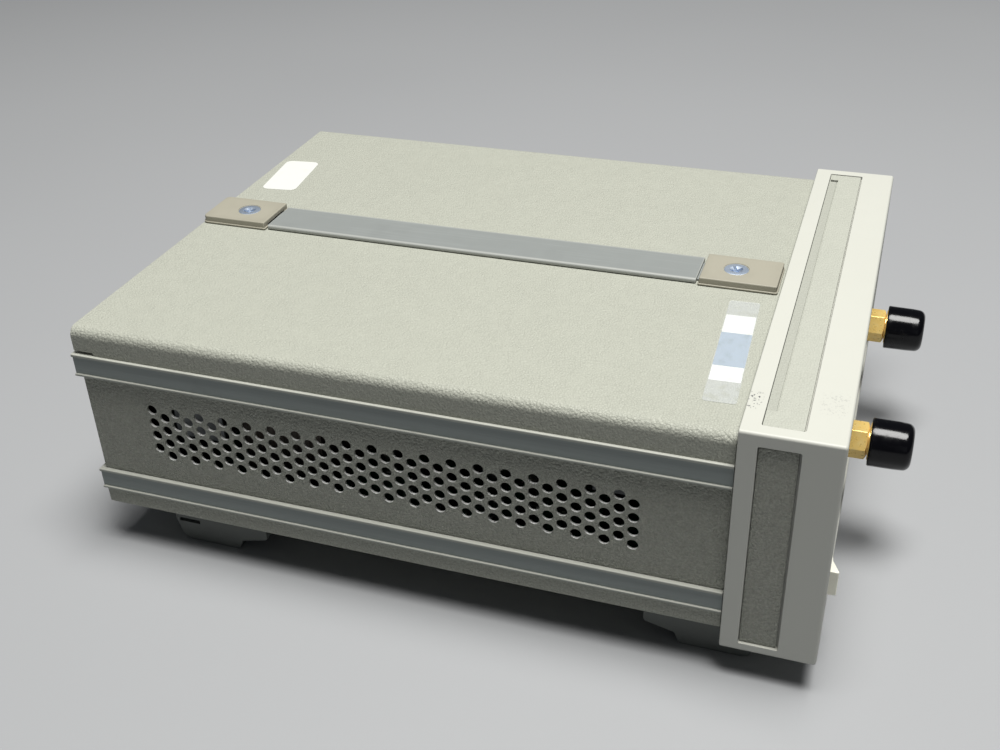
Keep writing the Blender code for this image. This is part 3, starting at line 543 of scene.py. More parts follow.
def side_sheet():
    """The covers' coating on the perforated sheets, with a painted highlight on every face that looks up,
    which brightens the rounded hole rims.
    """
    look = grained("side_grain", (0.40, 0.412, 0.352), 0.70, 2.8)
    # Painted highlight: faces that look up, mostly the lower hole rims, are almost white.
    look.tint((0.93, 0.94, 0.91), look.upward())
    return look.done(1.0)


def trim_sheet(name, colour, painted_shade_share, depth):
    """The covers' coating, with painted shade on the stepped rear edge of the top strip."""
    look = grained(name, colour, painted_shade_share, depth)
    stepped_shade = look.times(look.within("Y", LEDGE, GROOVE[1], 0.05), look.within("X", *LEDGE_ENDS, 0.1))
    # Painted shade on the upward faces of the strip's stepped rear part.
    look.tint(dimmed(colour, 0.86), look.times(stepped_shade, look.upward()), 0.9)
    return look.done(1.0)


def rail_paint():
    """Painted extrusion with fine lines along its length and a bluer web; its lips and every face that looks
    up are paler, a painted highlight.
    """
    look = Look("rail_enamel", (0.205, 0.232, 0.224), 0.42, Specular_IOR_Level=0.4)
    lines = look.noise(0.6, 2, stretch=(1, 0.01, 1))
    look.tint((0.18, 0.203, 0.195), look.span(lines, 0.4, 0.7), 0.4)
    lip_highlight = look.math("ADD", look.within("X", 104.8, 115, 0.15), look.within("X", -115, -104.8, 0.15))
    # Painted highlight: the lips are paler.
    look.tint((0.25, 0.26, 0.232), lip_highlight, 0.9)
    # Painted highlight: faces that look up, chiefly the lips' tops, are much paler.
    look.tint((0.48, 0.485, 0.43), look.upward(), 0.9)
    look.blotch((0.135, 0.145, 0.135), 30, 5, 0.6, 0.75, 0.2, 0.6)
    look.rougher(lines, 0.15)
    look.raise_by(lines, 0.02)
    look.raise_by(look.noise(0.7, 2), 0.012)
    return look.done()


def strap_vinyl():
    """Smooth slate-grey vinyl, scuffed lengthwise, with paler rims."""
    look = Look("strap_skin", (0.235, 0.25, 0.242), 0.36, Specular_IOR_Level=0.5)
    scuffs = look.noise(1.2, 4, stretch=(1, 0.03, 1))
    look.tint((0.28, 0.30, 0.29), look.span(scuffs, 0.5, 0.7), 0.4)
    look.blotch((0.19, 0.20, 0.195), 18, 4, 0.5, 0.75, 0.3)
    look.wear_and_highlight((0.40, 0.41, 0.38), 0.05, 0.5, 0.6)
    look.rougher(look.noise(6, 4), 0.2)
    look.raise_by(look.noise(0.5, 3), 0.012)
    look.raise_by(scuffs, 0.015)
    return look.done()


def moulded(name, colour, roughness, texture, paler=0.35):
    """Injection-moulded plastic with a fine spark texture and paler edges."""
    look = Look(name, colour, roughness, Specular_IOR_Level=0.45)
    look.blotch(dimmed(colour, 0.82), 12, 4, 0.45, 0.75, 0.5)
    look.wear_and_highlight(tuple(min(1.0, c * 1.25 + 0.03) for c in colour), 0.1, 0.7, paler)
    look.blotch(dimmed(colour, 0.6), 1.6, 4, 0.68, 0.76, 0.35)
    look.rougher(look.noise(4, 3), 0.15)
    look.raise_by(look.noise(texture, 3), 0.03)
    look.raise_by(look.cells(texture * 1.7, "SMOOTH_F1", 0.6), -0.02)
    return look.done()


def metal(name, colour, roughness, patina, brushed=(1, 1, 1), size=0.5):
    """Plated or bare metal: fine directional lines, blotches of patina and a few marks."""
    look = Look(name, colour, roughness, 1.0)
    marks = 0.3
    lines = look.noise(size, 3, stretch=brushed)
    blotch = look.noise(9, 4)
    look.tint(patina, look.span(blotch, 0.5, 0.8), marks)
    look.tint(tuple(min(1, c * 1.15) for c in colour), look.span(lines, 0.5, 0.75), 0.4)
    look.blotch(dimmed(colour, 0.45), 1.4, 5, 0.7, 0.78, marks)
    look.rougher(lines, 0.16)
    look.rougher(blotch, 0.12)
    look.raise_by(lines, 0.012)
    return look.done(0.7)


def gold():
    """Bright gold plate with paler blotches."""
    look = Look("gold_plating", (1.0, 0.70, 0.22), 0.22, 0.42, Specular_IOR_Level=0.7)
    look.blotch((1.0, 0.78, 0.34), 3, 3, 0.45, 0.7, 0.5)
    look.rougher(look.noise(1.5, 4), 0.14)
    look.raise_by(look.noise(0.6, 2), 0.002)
    return look.done(0.7)


def glossy_vinyl():
    """Dip-moulded black vinyl: wet gloss with a slightly lumpy skin and a little dust."""
    look = Look("black_dip", (0.002, 0.002, 0.003), 0.15, Specular_IOR_Level=0.26)
    look.blotch((0.02, 0.02, 0.024), 1.1, 4, 0.70, 0.76, 0.6)
    look.rougher(look.span(look.noise(4, 4), 0.5, 0.8), 0.2)
    look.raise_by(look.noise(5.0, 1), 0.03)
    look.raise_by(look.noise(0.5, 2), 0.002)
    return look.done()


def panel_paint():
    """Satin dark grey panel paint with a fine sprayed texture."""
    look = Look("panel_enamel", (0.115, 0.12, 0.115), 0.5, Specular_IOR_Level=0.4)
    look.blotch((0.14, 0.145, 0.14), 20, 4, 0.45, 0.7, 0.6)
    look.wear_and_highlight((0.30, 0.30, 0.28), 0.2, 0.8, 0.4)
    look.blotch((0.06, 0.06, 0.06), 2.5, 5, 0.66, 0.75, 0.4)
    look.rougher(look.noise(2, 3), 0.18)
    look.raise_by(look.noise(0.35, 3), 0.03)
    return look.done()


def smoked_window():
    """Smoked acrylic with faint wiping marks."""
    look = Look("smoked_acrylic", (0.012, 0.014, 0.015), 0.08, Specular_IOR_Level=0.6, Coat_Weight=0.5)
    look.blotch((0.03, 0.034, 0.035), 30, 3, 0.4, 0.7, 0.6)
    look.rougher(look.span(look.noise(7, 5), 0.5, 0.8), 0.16)
    look.raise_by(look.noise(0.9, 4, stretch=(0.1, 1, 1)), 0.003)
    return look.done(0.5)


def circuit_board():
    """Green solder mask over copper pours and fine tracks."""
    look = Look("solder_mask", (0.015, 0.10, 0.045), 0.35, Specular_IOR_Level=0.5)
    tracks = look.span(look.cells(2.6, "DISTANCE_TO_EDGE", jitter=0.25), 0.12, 0.2)
    look.tint((0.03, 0.19, 0.08), tracks, 0.9)
    look.tint((0.55, 0.56, 0.52), look.span(look.cells(3.4, jitter=0.35), 0.1, 0.14, 1.0, 0.0), 0.8)
    look.rougher(look.noise(5, 3), 0.2)
    look.raise_by(tracks, 0.035)
    return look.done()


def laminations():
    """A varnished stack of iron plates."""
    look = Look("varnished_laminations", (0.17, 0.15, 0.13), 0.45, 0.5)
    layers = look.noise(0.5, 2, stretch=(0.02, 1, 0.02))
    look.tint((0.09, 0.07, 0.06), look.span(layers, 0.45, 0.6), 0.7)
    look.blotch((0.30, 0.20, 0.11), 11, 4, 0.55, 0.75, 0.6)
    look.raise_by(layers, 0.05)
    return look.done(1.0)


def paper(name, colour):
    """Label stock with faint fibres and lifted, yellowed patches."""
    look = Look(name, colour, 0.55, Specular_IOR_Level=0.4)
    look.blotch(dimmed(colour, 0.93), 4, 4, 0.5, 0.75, 0.6)
    look.wear_and_highlight((0.62, 0.60, 0.50), 0.1, 0.8, 0.25)
    look.rougher(look.noise(2, 3), 0.15)
    look.raise_by(look.noise(0.4, 4), 0.01)
    look.raise_by(look.noise(7, 2), 0.04)
    return look.done()


def clear_tape():
    """Thin clear film with cloudy patches and ripples."""
    look = Look("clear_tape", (0.74, 0.77, 0.78), 0.25, Specular_IOR_Level=0.3, Alpha=0.2)
    look.blotch((0.60, 0.62, 0.57), 3, 5, 0.5, 0.7, 0.7)
    look.rougher(look.span(look.noise(5, 4), 0.45, 0.7), 0.3)
    look.raise_by(look.noise(4, 3), 0.06)
    return look.done(0.9)


def printed_ink(name, colour):
    look = Look(name, colour, 0.55)
    look.blotch(dimmed(colour, 0.7), 1.2, 4, 0.55, 0.7, 0.5)
    look.raise_by(look.noise(0.3, 3), 0.01)
    return look.done(1.0)


LOOKS = {
    "frame": frame_paint(),
    # The third number of each coated look sets how dark its painted shade on upright faces is.
    "cover": grained("cover_grain", (0.415, 0.425, 0.362), 0.70, 1.15).done(1.0),
    "side": side_sheet(),
    "trim": trim_sheet("top_trim_grain", (0.435, 0.445, 0.385), 0.6, 0.8),
    "side_trim": trim_sheet("side_trim_grain", (0.42, 0.43, 0.37), 0.66, 2.2),
    "rail": rail_paint(),
    "strap": strap_vinyl(),
    "cap": moulded("strap_cap_plastic", (0.295, 0.28, 0.222), 0.48, 0.45),
    "foot": moulded("foot_plastic", (0.10, 0.108, 0.10), 0.6, 0.6),
    "key": moulded("key_plastic", (0.84, 0.82, 0.69), 0.45, 0.35),
    "dark": moulded("black_plastic", (0.022, 0.022, 0.023), 0.45, 0.4, 0.5),
    "zinc": metal("blue_zinc", (0.62, 0.71, 0.84), 0.36, (0.78, 0.84, 0.90)),
    "bracket": metal("bracket_plate", (0.22, 0.23, 0.235), 0.5, (0.16, 0.17, 0.17)),
    "sheet": metal("plated_sheet", (0.60, 0.61, 0.60), 0.34, (0.48, 0.47, 0.42), (0.03, 1, 1), 0.4),
    "copper": metal("copper_jacket", (0.72, 0.40, 0.24), 0.3, (0.45, 0.24, 0.14)),
    "sink": metal("black_anodised", (0.05, 0.05, 0.055), 0.45, (0.10, 0.10, 0.10), (1, 0.05, 1)),
    "steel": metal("nickel_plate", (0.66, 0.65, 0.62), 0.2, (0.5, 0.48, 0.42)),
    "gold": gold(),
    "black": glossy_vinyl(),
    "panel": panel_paint(),
    "window": smoked_window(),
    "board": circuit_board(),
    "iron": laminations(),
    "paper": paper("label_paper", (0.66, 0.675, 0.66)),
    "tag": paper("tag_paper", (0.80, 0.82, 0.80)),
    "blue": paper("label_blue", (0.10, 0.225, 0.39)),
    "tape": clear_tape(),
    "ink": printed_ink("pale_ink", (0.62, 0.63, 0.60)),
    "dark_ink": printed_ink("dark_ink", (0.05, 0.055, 0.06)),
}


# ---------------------------------------------------------------- cabinet


def front_frame():
    """The casting: a ring swept round the opening, then grooved for its trim strips."""
    half_x, half_z = HALF_WIDTH, (FRAME_TOP - FRAME_BOTTOM) / 2
    back_round, lip = 0.5, 0.9
    stations = []
    for a in quarter(2):
        stations.append((back_round * (1 - math.sin(a)), FRAME_BACK - back_round * (1 - math.cos(a))))
    for a in quarter(5):
        stations.append((FRAME_ROUND * (1 - math.cos(a)), FRONT + FRAME_ROUND * (1 - math.sin(a))))
    loops = [round_rect(OPENING_X, OPENING_Z, OPENING_ROUND, FRAME_BACK)]
    for inset, y in stations:
        loops.append(round_rect(half_x - inset, half_z - inset, max(FRAME_ROUND - inset * 0.5, 0.5), y))
    for a in quarter(5):
        out = lip * (1 - math.sin(a))
        depth = FRONT + lip * (1 - math.cos(a))
        loops.append(round_rect(OPENING_X + out, OPENING_Z + out, OPENING_ROUND, depth))
    bm = loft(loops, ring=True)
    top = fillet(rectangle(-TOP_GROOVE_HALF, GROOVE[0], TOP_GROOVE_HALF, GROOVE[1]), 0.6)
    bm = boolean(bm, slab("XY", top, FRAME_TOP - TOP_GROOVE_DEPTH, FRAME_TOP + CLEAR, edge=0))
    side = fillet(rectangle(GROOVE[0], SIDE_GROOVE[0], GROOVE[1], SIDE_GROOVE[1]), 0.6)
    for _, sign in SIDES:
        inner, outer = sorted((sign * (half_x - SIDE_GROOVE_DEPTH), sign * (half_x + CLEAR)))
        bm = boolean(bm, slab("YZ", side, inner, outer, edge=0))
    soften(bm, 0.22, 2, 55)
    piece("frame_casting", bm, "frame", "front_frame")


def trim_strips():
    """Grained strips lying towards the rear of their grooves, the top one stepped along its rear edge."""
    gap, play, bed = 0.2, 0.35, 0.3
    top = FRAME_TOP - 0.3
    strip = rectangle(-TOP_GROOVE_HALF + play, GROOVE[0] + 0.5, TOP_GROOVE_HALF - play, GROOVE[1] - gap)
    bm = slab("XY", fillet(strip, 0.5), FRAME_TOP - TOP_GROOVE_DEPTH + bed, top, edge=0.18)
    start, end = LEDGE_ENDS
    step = block((start, LEDGE, top - 0.2), (end, LEDGE + 5, top + 2), 0)
    line = block((start, LEDGE - 0.35, top - 0.7), (end, LEDGE + 0.15, top + 2), 0)
    notch = block((93.4, LEDGE, top - 3), (94.9, GROOVE[1] - 0.6, top + 2), 0)
    for cutter in (step, line, notch):
        bm = boolean(bm, cutter)
    piece("top_trim", bm, "trim", "top_trim_strip", sharp=25)
    front = 0.8
    strip = rectangle(GROOVE[0] + front, SIDE_GROOVE[0] + gap, GROOVE[1] - gap, SIDE_GROOVE[1] - front)
    for name, sign in SIDES:
        inner = HALF_WIDTH - SIDE_GROOVE_DEPTH + bed
        near, far = sorted((sign * inner, sign * (inner + 0.7)))
        bm = slab("YZ", fillet(strip, 0.5), near, far, edge=0.18)
        piece(f"{name}_trim", bm, "side_trim", f"{name}_trim_strip")


def bent_outline(half, face, bend, skirt, sign):
    """Section of a sheet bent at both sides: along the outer face, then back along the inner one."""
    sides = []
    for radius, width, height in ((bend, half, face), (bend - SHEET, half - SHEET, face - sign * SHEET)):
        right = []
        for a in quarter(8):
            right.append((width - radius + radius * math.cos(a), height - sign * radius * (1 - math.sin(a))))
        left = [(-x, z) for x, z in reversed(right)]
        sides.append([(width, skirt), *right, *left, (-width, skirt)])
    return sides[0] + sides[1][::-1]


def cover(name, node, outline, stations, lift):
    """A bent sheet along Y. lift raises the skirts' edges by a height at each station's depth."""
    low, high = corners(node)
    skirt = min(z for _, z in outline)
    loops = []
    for y in (low.y, *stations, high.y):
        loops.append([(x, y, z + (lift(y) if z < skirt + 1e-3 else 0.0)) for x, z in outline])
    bm = loft(loops)
    soften(bm, 0.28, 2, 60)
    piece(name, bm, "cover", node)


def covers():
    """The top cover, whose skirts lift near the rear and leave a slit over the rails, and the bottom one."""
    overlap, slit, ramp = 0.35, 1.15, 0.8
    opened = REAR - 8.5

    def lift(y):
        return slit * max(0.0, min(1.0, (y - opened) / ramp))

    low, high = corners("top_cover")
    stations = [low.y + (opened - low.y) * i / 4 for i in range(1, 5)] + [opened + ramp]
    cover("top_shell", "top_cover", bent_outline(high.x, high.z, 3.8, low.z - overlap, 1), stations, lift)
    low, high = corners("bottom_cover")
    outline = bent_outline(high.x, low.z, 1.6, high.z + overlap, -1)
    cover("bottom_shell", "bottom_cover", outline, [0.0], lambda y: 0.0)


def rails():
    """Extrusions with two rounded lips and a recessed web between them."""
    lip, sill, web = 1.15, 0.95, 0.75
    for height in ("upper", "lower"):
        for side, sign in SIDES:
            low, high = corners(f"{height}_{side}_rail")
            inner, outer = sorted((abs(low.x), abs(high.x)))
            outline = [(inner, low.z), (outer, low.z), (outer, low.z + sill), (outer - web, low.z + sill)]
            outline += [(outer - web, high.z - lip), (outer, high.z - lip), (outer, high.z), (inner, high.z)]
            outline = fillet(outline, [0, 0.3, 0.32, 0.08, 0.08, 0.14, 0.42, 0], 5)
            bm = slab("XZ", [(sign * x, z) for x, z in outline], low.y, high.y, edge=0.2)
            piece(f"{height}_{side}_extrusion", bm, "rail", f"{height}_{side}_rail")


def side_covers():
    """Perforated sheets: staggered columns of round holes."""
    step = HOLE_PITCH * math.sin(math.radians(60))
    first_y, first_z = FRAME_BACK + 31.45, FRAME_BOTTOM + 34.6
    holes = []
    for column in range(HOLE_COLUMNS):
        for row in range(HOLE_ROWS):
            z = first_z + HOLE_PITCH * (row + (column % 2) / 2)
            holes.append(circle(first_y + column * step, z, HOLE_RADIUS, 20))
    for side, _ in SIDES:
        low, high = corners(f"{side}_side_cover")
        outline = fillet(rectangle(low.y, low.z, high.y, high.z), 1.0)
        bm = slab("YZ", outline, low.x, high.x, holes, edge=0.48, segments=3)
        piece(f"{side}_grille", bm, "side", f"{side}_side_cover", sharp=30)


def feet():
    """Stepped feet, slotted at the heel, with a ribbed pad. y runs back from the tongue's end."""
    plan = [(0.0, 0.0), (0.0, 7.4), (-11.3, 4.6), (-13.1, 0.0), (-34.8, 0.0), (-38.1, 1.4), (-40.5, 9.9)]
    plan += [(-40.5, 11.9), (-27.7, 11.9), (-27.7, 0.0)]
    radii = [0, 1.5, 0.8, 1.2, 1.5, 1.5, 0.6, 0.4, 0.3, 0]
    for end, forward in (("front", 1), ("rear", -1)):
        for side, _ in SIDES:
            node = f"{end}_{side}_foot"
            low, high = corners(node)
            plan[0], plan[-1] = (0.0, high.z), (-27.7, high.z)
            tongue = high.y if end == "front" else low.y
            outline = [(tongue + forward * y, z) for y, z in fillet(plan, radii)]
            bm = slab("YZ", outline, low.x, high.x, edge=0.7, segments=3)
            heel = sorted((tongue - forward * 29.6, tongue - forward * 38.8))
            for x in (low.x, high.x):
                bm = boolean(bm, block((x - 3.0, heel[0], 8.7), (x + 3.0, heel[1], 10.4), 0))
            for i in range(5):
                y = tongue + forward * (-17.0 - 3.6 * i)
                bm = boolean(bm, block((low.x + 2.5, y - 0.5, -1.0), (high.x - 2.5, y + 0.5, 0.5), 0))
            piece(f"{node}_moulding", bm, "foot", node)


# ---------------------------------------------------------------- strap


def strap():
    """The covered band between its caps, and the thin tongues that hold it under them."""
    low, high = corners("carry_strap")
    front_cap, rear_cap = corners("front_strap_cap"), corners("rear_strap_cap")
    start, end = front_cap[1].y + 0.8, rear_cap[0].y - 0.8
    half, thick = high.x, high.z - low.z
    rim, crown, waves = 1.6, 0.12, 0.06
    section = [(-half, 0.0), (half, 0.0), (half, thick), (half - rim, thick - crown)]
    section += [(-half + rim, thick - crown), (-half, thick)]
    section = fillet(section, [0.4, 0.4, 0.8, 1.5, 1.5, 0.8])
    loops = []
    for t in (0.0, 0.002, *(i / 36 for i in range(1, 36)), 0.998, 1.0):
        inside_ends = min(1.0, min(t, 1 - t) * 12)
        wave = waves * math.sin(9 * t) * inside_ends
        y, sag = start + (end - start) * t, 1 - 0.04 * inside_ends
        loops.append([(x, y, low.z + z * sag + wave * z / thick) for x, z in section])
    bm = loft(loops)
    soften(bm, 0.25, 2, 60)
    tongue = block((-7.0, low.y, low.z), (7.0, high.y, low.z + 0.5), 0.15)
    screws = (front_cap[0].y + SCREW_INSET, rear_cap[1].y - SCREW_INSET)
    for y in screws:
        tongue = boolean(tongue, slab("XY", circle(0, y, 3.4), low.z - 2, low.z + 4, edge=0))
    bm = boolean(bm, tongue, "UNION")
    piece("strap_band", bm, "strap", "carry_strap")
    strap_cap("front", screws[0], (0.9, 0.9, 0.6, 0.6))
    strap_cap("rear", screws[1], (0.6, 0.6, 2.2, 2.2))


def strap_cap(end, screw_y, radii):
    """A moulded cap on a slightly wider foot flange, countersunk for its cross-head screw."""
    node = f"{end}_strap_cap"
    low, high = corners(node)
    edge, step = 0.5, 0.38
    flange = low.z + 0.62
    levels = [(0.05, low.z), (0.0, low.z + 0.1), (0.0, flange - 0.12), (0.12, flange)]
    levels += [(step, flange + 0.04), (step, flange + 0.1)]
    for a in (0, 22, 45, 67, 90):
        turn = math.radians(a)
        levels.append((step + edge * (1 - math.cos(turn)), high.z - edge * (1 - math.sin(turn))))
    loops = []
    for inset, z in levels:
        x, y0, y1 = high.x - inset, low.y + inset, high.y - inset
        outline = fillet(rectangle(-x, y0, x, y1), [max(r - inset * 0.5, 0.25) for r in radii])
        loops.append([(u, v, z) for u, v in outline])
    bm = loft(loops)
    wall = 2.5
    near, far = (low.y + wall, high.y + CLEAR) if end == "front" else (low.y - CLEAR, high.y - wall)
    bm = boolean(bm, block((-7.3, near, low.z - 2), (7.3, far, low.z + 1.3), 0))
    seat = along(high.z, (0.0, -8), (2.9, -8), (2.9, -1.3), (4.85, -0.15), (4.95, 4), (0.0, 4))
    bm = boolean(bm, lathe(seat, (0, screw_y), "Z", 40))
    piece(f"{node}_moulding", bm, "cap", node)
    countersunk_screw(f"{end}_strap_screw", screw_y, high.z - 0.05)


def countersunk_screw(node, y, top):
    """A flat ring round a coned cross recess, over a plain shank."""
    head, shank = 4.6, 2.4
    length = top - corners(node)[0].z
    profile = along(top, (0.0, -0.75), (1.0, -0.55), (2.5, -0.02), (2.7, 0.0), (head - 0.25, -0.03))
    profile += along(top, (head - 0.05, -0.12), (head, -0.25), (shank, -1.6))
    profile += along(top - length, (shank, 1.5), (0.0, 0.0))
    bm = lathe(profile, (0, y), "Z", 48)
    bm = cross_cut(bm, "XY", (0, y), 0.5, ((1.5, 0.45, top - 2.2), (2.8, 0.75, top + 0.6)))
    piece(f"{node}_head", bm, "zinc", node, sharp=25)


def labels():
    """A blank asset label at the rear and a taped tag near the front corner, both without writing."""
    for name, look, centre, size, turn, rise, thick, radius in (
        ("asset_label", "paper", (45.8, 130.8), (33.0, 15.8), 6.2, 0.02, 0.14, 2.9),
        ("tag_paper", "tag", (-51.9, -87.2), (44.8, 10.6), 2.2, 0.02, 0.10, 0.4),
        ("tag_band", "blue", (-53.6, -87.3), (22.4, 10.6), 2.2, 0.13, 0.05, 0.1),
        ("tag_tape", "tape", (-53.1, -87.3), (68.4, 11.0), 2.2, 0.20, 0.07, 1.2),
    ):
        outline = turned(fillet(centred(0, 0, size[0] / 2, size[1] / 2), radius), centre, math.radians(turn))
        base = COVER_TOP + rise
        piece(name, slab("XY", outline, base, base + thick, edge=thick * 0.3, segments=1), look)


# ---------------------------------------------------------------- front


def ribbon(points, width, y, closed=False):
    """A printed stroke along a line of (x, z) points, standing a little off the surface at depth y."""
    points = [Vector(p) for p in points]
    left, right = [], []
    for i, point in enumerate(points):
        before = points[i - 1] if i or closed else point
        after = points[(i + 1) % len(points)] if i < len(points) - 1 or closed else point
        forward = (after - before).normalized()
        across = Vector((-forward.y, forward.x)) * width / 2
        left.append(tuple(point + across))
        right.append(tuple(point - across))
    if closed:
        return slab("XZ", left, y - INK, y, [right], edge=0)
    return slab("XZ", left + right[::-1], y - INK, y, edge=0)


def icon(kind, x, z, y):
    """The generic sign printed on a key."""
    w, h, stroke = 3.6, 1.5, 0.35

    def line(*points, width=stroke):
        return ribbon([(x + u, z + v) for u, v in points], width, y)

    if kind == "sine_key":
        wave = [(x - w + 2 * w * i / 24, z + h * math.sin(2 * math.pi * i / 24)) for i in range(25)]
        return ribbon(wave, stroke, y)
    if kind == "square_key":
        return line((-w, -h), (-w, h), (0, h), (0, -h), (w, -h), (w, h))
    if kind == "triangle_key":
        return line((-w, -h), (-w / 2, h), (w / 2, -h), (w, h))
    if kind == "frequency_key":
        return merge(*(line((u, -h), (u, h)) for u in (-3.0, -2.0, -1.2, 0.0, 1.4, 3.2)))
    if kind == "amplitude_key":
        return merge(line((-1.8, -h), (1.8, -h)), line((-1.8, h), (1.8, h)), line((0, 0.5 - h), (0, h - 0.5)))
    if kind == "offset_key":
        level = line((-1.5, 0.6), (1.5, 0.6), width=0.7)
        return merge(line((-w, -h), (w, -h)), level, line((0, 0.4 - h), (0, 0.2)))
    if kind == "output_key":
        ring = ribbon(circle(x, z, 1.6, 24), stroke, y, closed=True)
        return merge(ring, slab("XZ", circle(x, z, 0.55, 16), y - INK, y, edge=0))
    turn = {"up_key": 90, "left_key": 180, "down_key": 270, "right_key": 0}[kind]
    return slab("XZ", circle(x, z, 1.9, 3, math.radians(turn)), y - INK, y, edge=0)


def keys():
    """Dished keys, each with a flange behind the panel and a printed sign that moves with it."""
    lip, edge, flange = 1.2, 0.7, 1.0
    names = "sine square triangle frequency amplitude offset up down left right output"
    for name in (f"{n}_key" for n in names.split()):
        low, high = corners(name)
        centre = middle(name)
        half_x, half_z = (high.x - low.x) / 2 - lip, (high.z - low.z) / 2 - lip
        loops = [round_rect(half_x + lip, half_z + lip, 1.0, y, centre) for y in (high.y, high.y - flange)]
        loops.append(round_rect(half_x, half_z, 0.9, high.y - flange, centre))
        for a in quarter(3):
            inset = edge * (1 - math.cos(a)) + 0.15
            y = low.y + edge * (1 - math.sin(a))
            loops.append(round_rect(half_x - inset, half_z - inset, 0.9, y, centre))
        for share, sink in ((0.75, 0.10), (0.5, 0.17), (0.25, 0.21)):
            x, z = (half_x - edge) * share, (half_z - edge) * share
            loops.append(round_rect(x, z, 0.8 * share, low.y + sink, centre))
        piece(f"{name}_cap", loft(loops), "key", name, name, sharp=50)
        piece(f"{name}_sign", icon(name, *centre, low.y + 0.2), "dark_ink", body=name)


def line_key():
    """The rocker-shaped mains key and its stem."""
    low, high = corners("line_key")
    x, z = middle("line_key")
    base, stem = FRONT + 8.0, 2
    outline = [(low.x, low.y), (x, FRONT - 0.3), (high.x, FRONT + 0.6), (high.x, base), (low.x, base)]
    bm = slab("XY", fillet(outline, [0.5, 3.0, 0.5, 0.2, 0.2]), low.z, high.z, edge=0.45, segments=3)
    post = block((x - stem, FRONT + 7.5, z - stem), (x + stem, high.y, z + stem))
    piece("line_key_button", merge(bm, post), "key", "line_key", "line_key")


def front_panel():
    """The panel with its openings, the window and its bezel, and fine printed rules round the groups."""
    low, high = corners("front_panel")
    keyed = [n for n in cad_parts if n.endswith("_key") and n != "line_key"]
    holes = [opening(name, -0.8, 1.2) for name in keyed]
    holes += [opening("line_key", 0.4, 0.6), opening("display_window", 0.3, 1.0)]
    holes += [circle(*middle(f"{name}_connector"), 5.6) for name in ("sync", "output")]
    bm = slab("XZ", opening("front_panel", 0, 2.2), low.y, high.y, holes, edge=0.15)
    piece("panel_plate", bm, "panel", "front_panel")
    bm = slab("XZ", opening("display_window", 0, 0.8), low.y + 0.1, high.y, edge=0.3)
    piece("window_pane", bm, "window", "display_window")
    hole = opening("display_window", -0.4, 0.8)
    bm = slab("XZ", opening("display_window", 2.6, 2.0), low.y - 0.9, low.y - 0.05, [hole], edge=0.3)
    piece("window_bezel", bm, "dark")
    rules = []
    for x0, z0, x1, z1 in PANEL_GROUPS:
        rules.append(ribbon(fillet(rectangle(x0, z0, x1, z1), 2.0), 0.35, low.y - 0.02, closed=True))
    piece("panel_rules", merge(*rules), "ink")


def connectors():
    """Gold-plated threaded connectors, their nuts, and push-on dust caps."""
    for name in ("sync", "output"):
        connector_body(name)
        connector_nut(name)
        dust_cap(name)


def connector_body(name):
    tip = FRONT - 18.8
    thread = []
    y, pitch = FRONT - 17.6, 0.7
    while y < FRONT - 8.6:
        thread += [(7.35, y), (6.95, y + pitch / 2)]
        y += pitch
    profile = along(FRONT, (0.0, -16.5), (1.0, -16.5), (1.4, -16.0), (1.4, -10.0), (5.0, -10.0))
    profile += along(tip, (5.0, 0.4), (5.3, 0.0), (6.9, 0.0), (7.2, 0.4)) + thread
    profile += along(FRONT, (7.4, -8.0), (7.4, -6.9), (7.1, -6.6), (7.1, -6.2), (6.8, -6.0), (5.2, -6.0))
    profile += along(FRONT, (5.2, 6.3), (7.4, 6.3), (7.6, 6.6), (7.6, 9.0), (4.0, 9.0), (4.0, 15.7))
    profile += along(FRONT, (3.7, 16.0), (0.0, 16.0))
    node = f"{name}_connector"
    piece(f"{name}_jack", lathe(profile, middle(node), steps=56), "gold", node, sharp=30)


def connector_nut(name):
    """A hexagon nut with turned chamfers."""
    low, high = corners(f"{name}_nut")
    centre = middle(f"{name}_connector")
    flat = (high.z - low.z) / 2
    bm = slab("XZ", circle(*centre, flat / math.cos(math.pi / 6), 6), low.y, high.y, edge=0)
    chamfer = along(low.y, (0.0, -1), (flat - 0.4, -1), (flat - 0.4, 0), (flat + 1.6, 1.0))
    chamfer += along(high.y, (flat + 1.6, -1.0), (flat - 0.4, 0), (0.0, 0))
    bm = boolean(bm, lathe(chamfer, centre, steps=64), "INTERSECT")
    bm = boolean(bm, slab("XZ", circle(*centre, 5.5, 48), low.y - 3, high.y + 3, edge=0))
    soften(bm, 0.16, 2, 42)
    piece(f"{name}_hex", bm, "gold", f"{name}_nut")


def dust_cap(name):
    """A dip-moulded cup with a rounded end and a soft rim."""
    low, high = corners(f"{name}_dust_cap")
    radius, nose = (high.x - low.x) / 2, 2.9
    tip, rim = low.y, high.y
    outer = [(0.0, tip)]
    outer += [(radius - 3.2 + nose * math.sin(a), tip + nose * (1 - math.cos(a))) for a in quarter(9)]
    outer += [(radius - 0.12, tip + 6.0), (radius - 0.05, rim - 1.6), (radius, rim - 0.5)]
    outer += [(radius - 0.2, rim - 0.1), (radius - 0.45, rim)]
    inner = [(radius - 1.0, rim), (radius - 1.2, rim - 0.3), (radius - 1.2, tip + 3.4)]
    inner += [(radius - 2.6, tip + 1.9), (0.0, tip + 1.8)]
    bm = lathe(outer + inner, middle(f"{name}_connector"), steps=64)
    piece(f"{name}_cap_skin", bm, "black", f"{name}_dust_cap", f"{name}_cap", sharp=60)


# ---------------------------------------------------------------- rear


